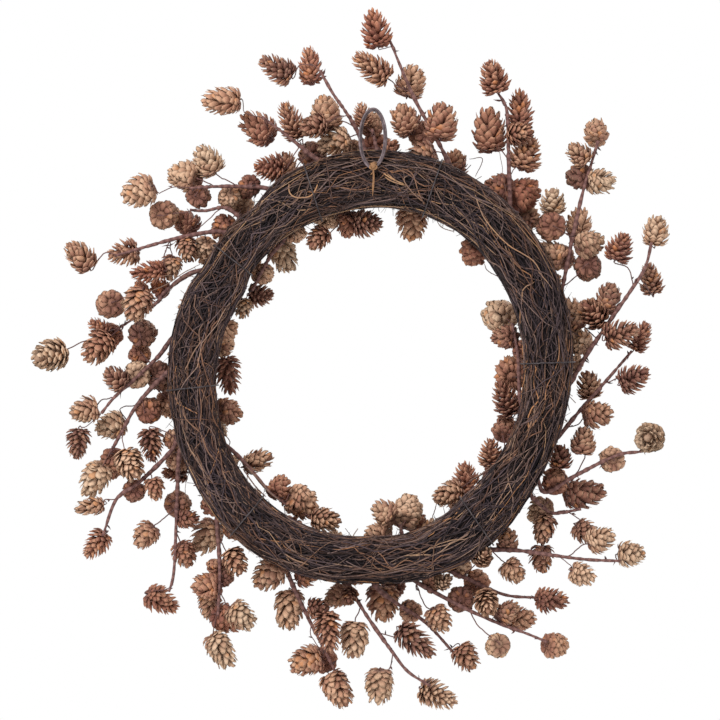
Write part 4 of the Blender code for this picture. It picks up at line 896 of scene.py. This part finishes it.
class Cone:
    """One cone: its place as seen from the back, its pose, and the wire that carries it."""

    def __init__(self, owner, row, stem, chance):
        right, up, heading, length, width = row[:5]
        self.owner = owner
        self.length = length * SQUARE
        self.width = width * SQUARE
        self.middle = on_layout(right, up)
        self.roll = chance.uniform(0, math.tau)
        self.swing = Vector([chance.uniform(-SWING, SWING) for axis in range(3)])
        away, found, along = nearest_on(stem, self.middle)
        self.landing = point_along(stem, along - WIRE_SLANT * away)
        self.bends = [on_layout(*place) for place in row[5]] if len(row) > 5 else []
        if self.bends:
            self.landing = point_along(stem, nearest_on(stem, self.bends.pop())[2])
        self.heading = None
        if heading != AWAY:
            tilt = chance.uniform(*TILT)
            if heading in (BASE, TIP):
                tilt = END_ON_TILT if heading == BASE else -END_ON_TILT
                heading = chance.uniform(0, 360)
            flat = math.cos(math.radians(tilt))
            self.heading = Vector((flat * math.cos(math.radians(heading)), math.sin(math.radians(tilt)),
                                   flat * math.sin(math.radians(heading))))
        self.depth = found.y + chance.uniform(*DEPTH_CHANCE)
        if away < self.width / 2 + ROOT_RADIUS:
            self.depth = found.y + ROOT_RADIUS + BEHIND_STEM * self.width
            if self.heading is None:
                self.depth = found.y + math.sqrt(max(0.0, (self.length / 2 + SHORTEST_WIRE) ** 2 - away ** 2))

    def at(self, shift, depth):
        """Base, axis, wire's route and the rods of both, at a depth and a small shift aside."""
        middle = self.middle + shift
        middle.y = depth
        target = self.landing
        if self.bends:
            share = 1 / (len(self.bends) + 1)
            target = Vector((self.bends[0].x, depth + share * (self.landing.y - depth), self.bends[0].z))
        axis = self.heading or ((middle - target).normalized() + self.swing).normalized()
        half = max(0.0, self.length - self.width) / 2
        body = Rod(self.owner, middle - axis * half, middle + axis * half, self.width / 2, True)
        base = middle - axis * self.length / 2
        route = self.wire(base, axis)
        return base, axis, route, [body] + rods_along(self.owner, route, WIRE_RADIUS)

    def wire(self, base, axis):
        """The wire from the cone's base to its stem's middle. Where it turns, it leaves the cone straight."""
        route = [base]
        for index, place in enumerate(self.bends, 1):
            share = index / (len(self.bends) + 1)
            route.append(Vector((place.x, base.y + share * (self.landing.y - base.y), place.z)))
        route.append(self.landing)
        if (route[1] - base).angle(-axis, 0.0) > STRAIGHT_TURN:
            route.insert(1, base - axis * WIRE_STUB)
        return route

    def settle(self, laid):
        """Takes the depth nearest the stem's at which the cone and its wire clear everything laid before,
        with a small step aside only where no depth does."""
        best = None
        for reach in SIDESTEPS:
            for compass in range(COMPASS if reach else 1):
                turn = math.tau * compass / COMPASS
                found = self.search(Vector((reach * math.cos(turn), 0, reach * math.sin(turn))), laid)
                if best is None or found[0] > best[0]:
                    best = found
                if best[0] >= 0:
                    break
            if best[0] >= 0:
                break
        self.base, self.axis, self.wire_route, rods = best[1:]
        laid.extend(rods)

    def search(self, shift, laid):
        """The first clear depth at one shift, or else the roomiest."""
        best = None
        reach = (self.length + self.width) / 2
        middle = self.middle + shift
        corner = Vector((reach, 0, reach))
        spots = [middle - corner, middle + corner, self.landing] + self.bends
        low = Vector([min(spot[axis] for spot in spots) for axis in range(3)])
        high = Vector([max(spot[axis] for spot in spots) for axis in range(3)])
        close = [rod for rod in laid if rod.touches(low, high)]
        for step in range(2 * DEPTH_STEPS):
            depth = self.depth + (step + 1) // 2 * DEPTH_STEP * (1 if step % 2 else -1)
            if not LOWEST_DEPTH < depth - RING_CENTRE.y < HIGHEST_DEPTH:
                continue
            base, axis, route, rods = self.at(shift, depth)
            room = min([rod.room(other) for rod in rods for other in close], default=1.0)
            room = min([room] + [rods[0].room(rod) for rod in rods[2:]])
            room = min(room, (self.landing - base).length - SHORTEST_WIRE)
            if len(route) > 2:
                room = min(room, SHARPEST_TURN - (route[2] - route[1]).angle(route[1] - route[0]))
            if best is None or room > best[0]:
                best = (room, base, axis, route, rods)
            if room >= 0:
                break
        return best


def ring_rods():
    """Rods that stand for the twig ring: a stout one along its middle and a slimmer one on each side."""
    rods = []
    for index in range(RING_ROD_STEPS):
        angle = math.tau * index / RING_ROD_STEPS
        after = math.tau * (index + 1) / RING_ROD_STEPS
        half = ring_half_width(angle)
        slim = SIDE_ROD_RADIUS * half
        aside = SIDE_ROD_OFFSET * half
        for outward, radius in ((0, half), (-aside, slim), (aside, slim)):
            depth = RING_HALF_DEPTH - radius
            ends = [on_ring(place, outward, depth) for place in (angle, after)]
            rods.append(Rod("twig_ring", *ends, radius + GAP))
    return rods


def bunch_layout(number):
    """Stem and cone rows of a bunch that lies along the ring's front."""
    middle = BUNCH_START + math.tau * number / BUNCHES
    stem = [on_ring(middle + BUNCH_ARC * (share - 0.5), 0, BUNCH_DEPTH) for share in (0, 0.25, 0.5, 0.75, 1)]
    rows = []
    for index in range(BUNCH_CONES):
        angle = middle + math.tau / BUNCHES * ((index + 0.5) / BUNCH_CONES - 0.5)
        place = on_ring(angle, BUNCH_SPREAD * (1 if index % 2 else -1), 0) - RING_CENTRE
        rows.append((place.x / SQUARE, place.z / SQUARE, AWAY, BUNCH_CONE_LENGTH, BUNCH_CONE_WIDTH))
    return stem, rows


# A cone's outline from its base to its tip: the share of the way up its spiral, and how high its scales' tips
# stand, as a part of its length.
SPIRAL = (0, 0.08, 0.2, 0.4, 0.6, 0.8, 0.92, 1)
TIP_HEIGHTS = (-0.03, 0.04, 0.15, 0.37, 0.60, 0.82, 0.94, 1.01)
# The two kinds of cone differ in the number of scales, in how far out these reach, as a part of half the
# width, in where they grow from the spindle, how unevenly they lean, their half width and its change from
# foot to tip, how they bend and flare, how far their rims hang back, how domed they are, and how many
# corners a row of a scale has.
OPEN_CONE = {
    "scales": 92, "reaches": (0.70, 0.93, 1.09, 1.12, 0.97, 0.70, 0.46, 0.20),
    "roots": (0.02, 0.03, 0.05, 0.16, 0.34, 0.56, 0.70, 0.82), "uneven": 0.09, "half": 0.108,
    "spread": (0.45, 0.85, 1.0, 0.42), "bend": 0.95, "flare": 1.1, "rim": 0.10, "dome": 0.65, "corners": 3}
BROAD_CONE = {
    "scales": 78, "reaches": (0.74, 0.95, 1.06, 1.07, 0.98, 0.77, 0.55, 0.25),
    "roots": (0.0, 0.0, 0.01, 0.07, 0.22, 0.42, 0.57, 0.70), "uneven": 0.07, "half": 0.136,
    "spread": (0.42, 0.84, 1.0, 0.76), "bend": 1.15, "flare": 0.4, "rim": 0.07, "dome": 0.30, "corners": 4}
SCALE_ROWS = (0, 0.36, 0.74, 1.0)
SCALE_DOME = (0.6, 1.0, 0.8, 0.25)
FULL_CONE = 0.030 * 0.024
GOLDEN_TURN = math.pi * (3 - math.sqrt(5))
# How much the scales of a cone vary: their place in the spiral, the lean of the cone and of a scale, length,
# width, raggedness of the rim and twist.
TURN_CHANCE = 0.10
LEAN_CHANCE = 0.05
LONG_CHANCE = (0.94, 1.06)
HALF_CHANCE = (0.85, 1.15)
RAGGED = 0.13
TWIST = 0.12
# Scales lighter towards a cone's tip; painted light on one side of each cone and painted shade on the other.
SHADE_UP = 0.26
PAINTED_LIGHT_ROUND = 0.09
CONE_TONE_CHANCE = 0.03
CONE_WARM_CHANCE = 0.25
SPINDLE_SHARE = 0.17
SPINDLE_TAPER = 0.6
SPINDLE_CORE = 0.19
SPINDLE_TOP = 0.93
SPINDLE_STEPS = 8
SPINDLE_WALLS = 8
SPINDLE_LOT = 0.3
STEM_STEPS = 44
STEM_WALLS = 8
STEM_TONE = 0.42
STEM_LUMPS = 0.13
PAPER_TURNS = 170
WIRE_STEPS = 18
WIRE_WALLS = 4
WIRE_THIN = 0.00052
WIRE_FOOT = 0.0006
WIRE_JOINT = 0.0004
WIRE_INSIDE = 0.003
WIRE_BESIDE_STEM = 0.008
WIRE_CRINKLE = 0.00025
WIRE_TONE = (0.5, 0.08)
BUDS = 2
BUD_STEPS = 5
BUD_LENGTHS = (0.0025, 0.0065)
BUD_RADII = (0.0004, 0.0010)
BUD_SHAPE = (0.4, 1.0, 0.9, 0.5, 0.12)
BUD_DRIFT = 0.35
BUD_TONES = (0.0, 0.5)
BUNCH_SEED = 100


def scale_faces(width):
    """Faces of one scale: a domed back, a flat inner side and a closed foot, as quads and wider faces."""
    quads = []
    last = width - 1
    rows = len(SCALE_ROWS)
    for row in range(rows - 1):
        low = row * width
        high = low + width
        for column in range(last):
            quads.append((low + column, low + column + 1, high + column + 1, high + column))
        if row < rows - 2:
            quads.append((low + last, low, high, high + last))
    top = (rows - 1) * width
    below = top - width
    tip = [below + last, below] + [top + column for column in range(width)]
    foot = list(range(last, -1, -1))
    return np.array(quads), np.array(tip), np.array(foot)


def cone_mesh(cone, kind, luck):
    """Points, faces and marks of one cone: thin woody scales set in a spiral round a spindle."""
    length = cone.length
    width = cone.width
    base = np.array(cone.base)
    axis = np.array(cone.axis)
    first = np.array(Vector(axis).orthogonal().normalized())
    second = np.cross(axis, first)
    scales = round(kind["scales"] * min(1.0, (length * width / FULL_CONE) ** 0.4))
    index = np.arange(scales)[:, None, None]
    share = (index + 0.5) / scales
    height = np.interp(share, SPIRAL, kind["roots"])
    turn = cone.roll + index * GOLDEN_TURN + luck.normal(0, TURN_CHANCE, index.shape)
    spindle = SPINDLE_SHARE * width * (1 - SPINDLE_TAPER * height)
    reach = np.interp(share, SPIRAL, kind["reaches"])
    out_to = reach * width / 2 - spindle
    up_to = (np.interp(share, SPIRAL, TIP_HEIGHTS) - height) * length
    lean = np.arctan2(out_to, up_to) + luck.normal(0, LEAN_CHANCE)
    lean = lean + luck.normal(0, kind["uneven"], index.shape)
    long = np.hypot(out_to, up_to) * luck.uniform(*LONG_CHANCE, index.shape)
    half = kind["half"] * width * (0.35 + 0.65 * reach) * luck.uniform(*HALF_CHANCE, index.shape)
    rows = np.array(SCALE_ROWS)[:, None]
    columns = np.linspace(-1, 1, kind["corners"])
    angle = lean + kind["bend"] * (0.5 - rows) + kind["flare"] * np.maximum(0, rows - 0.6)
    step = long * np.diff(rows, axis=0)
    between = (angle[:, 1:] + angle[:, :-1]) / 2
    foot = np.zeros(index.shape)
    outward = spindle + np.concatenate([foot, np.cumsum(step * np.sin(between), axis=1)], axis=1)
    upward = height * length + np.concatenate([foot, np.cumsum(step * np.cos(between), axis=1)], axis=1)
    dome = half * kind["dome"] * (1 - columns ** 2) * np.array(SCALE_DOME)[:, None]
    ragged = luck.uniform(0, RAGGED, (scales, 1, len(columns)))
    dip = -long * (kind["rim"] * columns ** 2 + ragged) * rows ** 3
    radial = outward + dome * np.cos(angle) + dip * np.sin(angle)
    axial = upward - dome * np.sin(angle) + dip * np.cos(angle)
    twist = luck.normal(0, TWIST, index.shape) * long * rows ** 2
    sideways = half * np.array(kind["spread"])[:, None] * columns + twist
    out = first * np.cos(turn) + second * np.sin(turn)
    side = second * np.cos(turn) - first * np.sin(turn)
    points = (base + radial[..., None] * out[:, :, None] + axial[..., None] * axis
              + sideways[..., None] * side[:, :, None]).reshape(-1, 3)
    size = radial[0].size
    quads, tip_face, foot_face = scale_faces(len(columns))
    faces = (quads + index * size).reshape(-1, 4).tolist()
    faces += (tip_face + index[:, 0] * size).tolist() + (foot_face + index[:, 0] * size).tolist()
    lot = np.repeat(luck.random(scales), size)
    # Painted light and shade: scales facing sunny, a random way, are lighter; those facing away, darker.
    sunny = first * luck.normal(0, 1) + second * luck.normal(0, 1)
    shade = np.repeat(SHADE_UP * (share[:, 0, 0] - 0.5) + PAINTED_LIGHT_ROUND * (out[:, 0] @ sunny), size)
    way = np.linspace(0, SPINDLE_TOP, SPINDLE_STEPS)
    middle = base + (way * length)[:, None] * axis
    thick = SPINDLE_CORE * width * np.sqrt(np.maximum(0.02, 1 - ((way - 0.3) / 0.66) ** 2))
    core, core_faces = tubes(middle[None], thick[None], SPINDLE_WALLS, len(points))
    bare = np.zeros(len(core))
    marks = {"along": np.append(np.broadcast_to(rows, radial.shape), bare),
             "across": np.append(np.broadcast_to(np.abs(columns), radial.shape), bare),
             "lot": np.append(lot, bare + SPINDLE_LOT), "tone": np.append(shade, bare)}
    return np.concatenate([points, core]), faces + core_faces, marks


larch_cone, shader, start, spot = finish("larch_cone", 0.75, 0.25)
along = start.mark("along")
lot = start.mark("lot")
fibre = start.grain(spot, 0.0011, 4.0)
patch = start.grain(spot, 0.009, 2.0)
tone = start.mark("tone") + (lot - 0.5) * 0.40 + (patch - 0.5) * 0.45 + (fibre - 0.5) * 0.40
wood = tone.ramp(((0.0, (0.160, 0.074, 0.055)), (0.25, (0.238, 0.115, 0.078)), (0.5, (0.335, 0.181, 0.118)),
                  (0.75, (0.455, 0.286, 0.184)), (1.0, (0.565, 0.390, 0.268))))
orange = lot.ease(0.86, 0.92) * patch.ease(0.42, 0.6)
wood = start.blend(orange * 0.7, wood, (0.42, 0.17, 0.055, 1))
# Painted shade, with some dark resin: darker towards each scale's root and all over the spindle.
root = 1 - along.ease(0.25, 0.85)
wood = start.blend(root * 0.44, wood, (0.092, 0.038, 0.030, 1))
# Painted highlight: each scale is lighter near its rim, a little less at its sides.
rim = along.ease(0.84, 1.0) * (1 - start.mark("across") * 0.3)
wood = start.blend(rim * 0.42, wood, (0.62, 0.45, 0.30, 1))
wood = start.blend(start.mark("warm"), wood, (1.08, 0.82, 0.76, 1), "MULTIPLY")
wear(shader, wood, 0.6 + 0.3 * fibre, fibre, 0.6, 0.0005)

wrapped_stem, shader, start, spot = finish("wrapped_stem", 0.7, 0.3)
wound = start.node("CombineXYZ", {}, {"X": start.mark("wound")})
wrap = start.node("TexWave", {}, {"Vector": wound, "Scale": 0.32}, "Fac")
fibre = start.grain(spot, 0.0012)
tone = start.mark("tone") + (fibre - 0.5) * 0.7 + (wrap - 0.5) * 0.3
wear(shader, tone.ramp(((0.0, (0.050, 0.026, 0.024)), (0.35, (0.118, 0.052, 0.046)),
                        (0.65, (0.205, 0.103, 0.088)), (1.0, (0.320, 0.215, 0.185)))),
     0.55 + 0.3 * fibre, wrap + fibre, 0.5, 0.0004)

laid = ring_rods()
stems = {}
bunches = {}
for name, (tip_depth, letters, places, rows) in SPRAYS.items():
    stems[name] = stem_route(places, tip_depth / 1000)
    laid += rods_along(name, stems[name], ROOT_RADIUS)
for number, degrees in enumerate(TIE_ANGLES, 1):
    route = tie_route(math.radians(degrees))
    laid += rods_along(f"wire_tie_{number}", route + route[:1], TIE_RADIUS)
for number in range(BUNCHES):
    name = f"front_bunch_{number + 1}"
    stems[name], bunches[name] = bunch_layout(number)
    laid += rods_along(name, stems[name], BUNCH_STEM_RADIUS)


def grow(name, radii, rows, seed, letters):
    """One spray: the cones find their places as in the part, then get their scales, wires and stem."""
    route = stems[name]
    drawn = random.Random(seed)
    luck = np.random.default_rng(seed + 1)
    points, faces, marks, wires, wire_radii = [], [], [], [], []
    total = 0
    size = np.linspace(0, 1, WIRE_STEPS)
    thick = WIRE_THIN + WIRE_FOOT * np.clip(1 - size * 7, 0, 1) + WIRE_JOINT * np.clip(size * 4 - 3, 0, 1)
    for row, letter in zip(rows, letters):
        cone = Cone(name, row, route, drawn)
        cone.settle(laid)
        scales, rings, paint = cone_mesh(cone, OPEN_CONE if letter.isupper() else BROAD_CONE, luck)
        tone, warmth = PAINTS[letter.lower()]
        paint["tone"] = tone + luck.normal(0, CONE_TONE_CHANCE) + paint["tone"]
        warmth = warmth + luck.uniform(-CONE_WARM_CHANCE, CONE_WARM_CHANCE)
        paint["warm"] = np.full(len(scales), warmth)
        faces += [[corner + total for corner in ring] for ring in rings]
        total += len(scales)
        points.append(scales)
        marks.append(paint)
        inside = cone.base + cone.axis * WIRE_INSIDE
        away, found, reached = nearest_on(route, cone.wire_route[-1])
        joined = point_along(route, reached - WIRE_BESIDE_STEM)
        wire = curve_through([inside, *cone.wire_route, joined], WIRE_STEPS)
        crinkle = luck.normal(0, WIRE_CRINKLE, wire.shape)
        crinkle = (crinkle + np.roll(crinkle, 1, axis=0)) / 1.4
        wires.append(wire + crinkle * np.minimum(1, 8 * size * (1 - size))[:, None])
        wire_radii.append(thick)
    marks = {mark: np.concatenate([paint[mark] for paint in marks]) for mark in marks[0]}
    fit(piece(f"{name}_cones", np.concatenate(points), faces, marks, larch_cone), name)
    stem = curve_through(route, STEM_STEPS)
    reached = np.concatenate([[0], np.cumsum(np.linalg.norm(np.diff(stem, axis=0), axis=1))])
    radius = np.interp(np.linspace(0, 1, STEM_STEPS), np.linspace(0, 1, len(radii)), radii)
    radius = radius * (1 + luck.normal(0, STEM_LUMPS, STEM_STEPS))
    groups = [([stem], [radius], STEM_WALLS, [STEM_TONE])]
    groups.append((wires, wire_radii, WIRE_WALLS, luck.normal(*WIRE_TONE, len(wires))))
    way = np.linspace(0, 1, BUD_STEPS)[:, None]
    buds = []
    for wire in wires:
        for bud in range(BUDS):
            foot = wire[luck.integers(WIRE_STEPS // 2, WIRE_STEPS)]
            heading = unit(luck.normal(0, 1, 3))
            drift = unit(luck.normal(0, 1, 3))
            long = luck.uniform(*BUD_LENGTHS)
            buds.append(foot + heading * long * way + drift * BUD_DRIFT * long * way ** 2)
    sizes = np.array(BUD_SHAPE) * luck.uniform(*BUD_RADII, (len(buds), 1))
    groups.append((buds, sizes, WIRE_WALLS, luck.uniform(*BUD_TONES, len(buds))))
    points, faces, tones = [], [], []
    total = 0
    for routes, radii, walls, tone in groups:
        made, rings = tubes(np.array(routes), np.array(radii), walls, total)
        faces += rings
        total += len(made)
        points.append(made)
        tones.append(np.repeat(tone, len(made) // len(tone)))
    wound = np.zeros(total)
    wound[:STEM_STEPS * STEM_WALLS] = np.repeat(reached * PAPER_TURNS, STEM_WALLS)
    marks = {"tone": np.concatenate(tones), "wound": wound}
    fit(piece(f"{name}_stem", np.concatenate(points), faces, marks, wrapped_stem), name)


for seed, (name, (tip_depth, letters, places, rows)) in enumerate(SPRAYS.items()):
    last = len(places) - 1
    radii = [ROOT_RADIUS + (STEM_TIP_RADIUS - ROOT_RADIUS) * max(0, index - 1) / (last - 1)
             for index in range(last + 1)]
    grow(name, radii, rows, seed, letters)
for seed, (name, rows) in enumerate(bunches.items()):
    first = seed % BUNCH_CONES
    letters = BUNCH_TONES[first:] + BUNCH_TONES[:first]
    grow(name, [BUNCH_STEM_RADIUS] * len(stems[name]), rows, BUNCH_SEED + seed, letters)
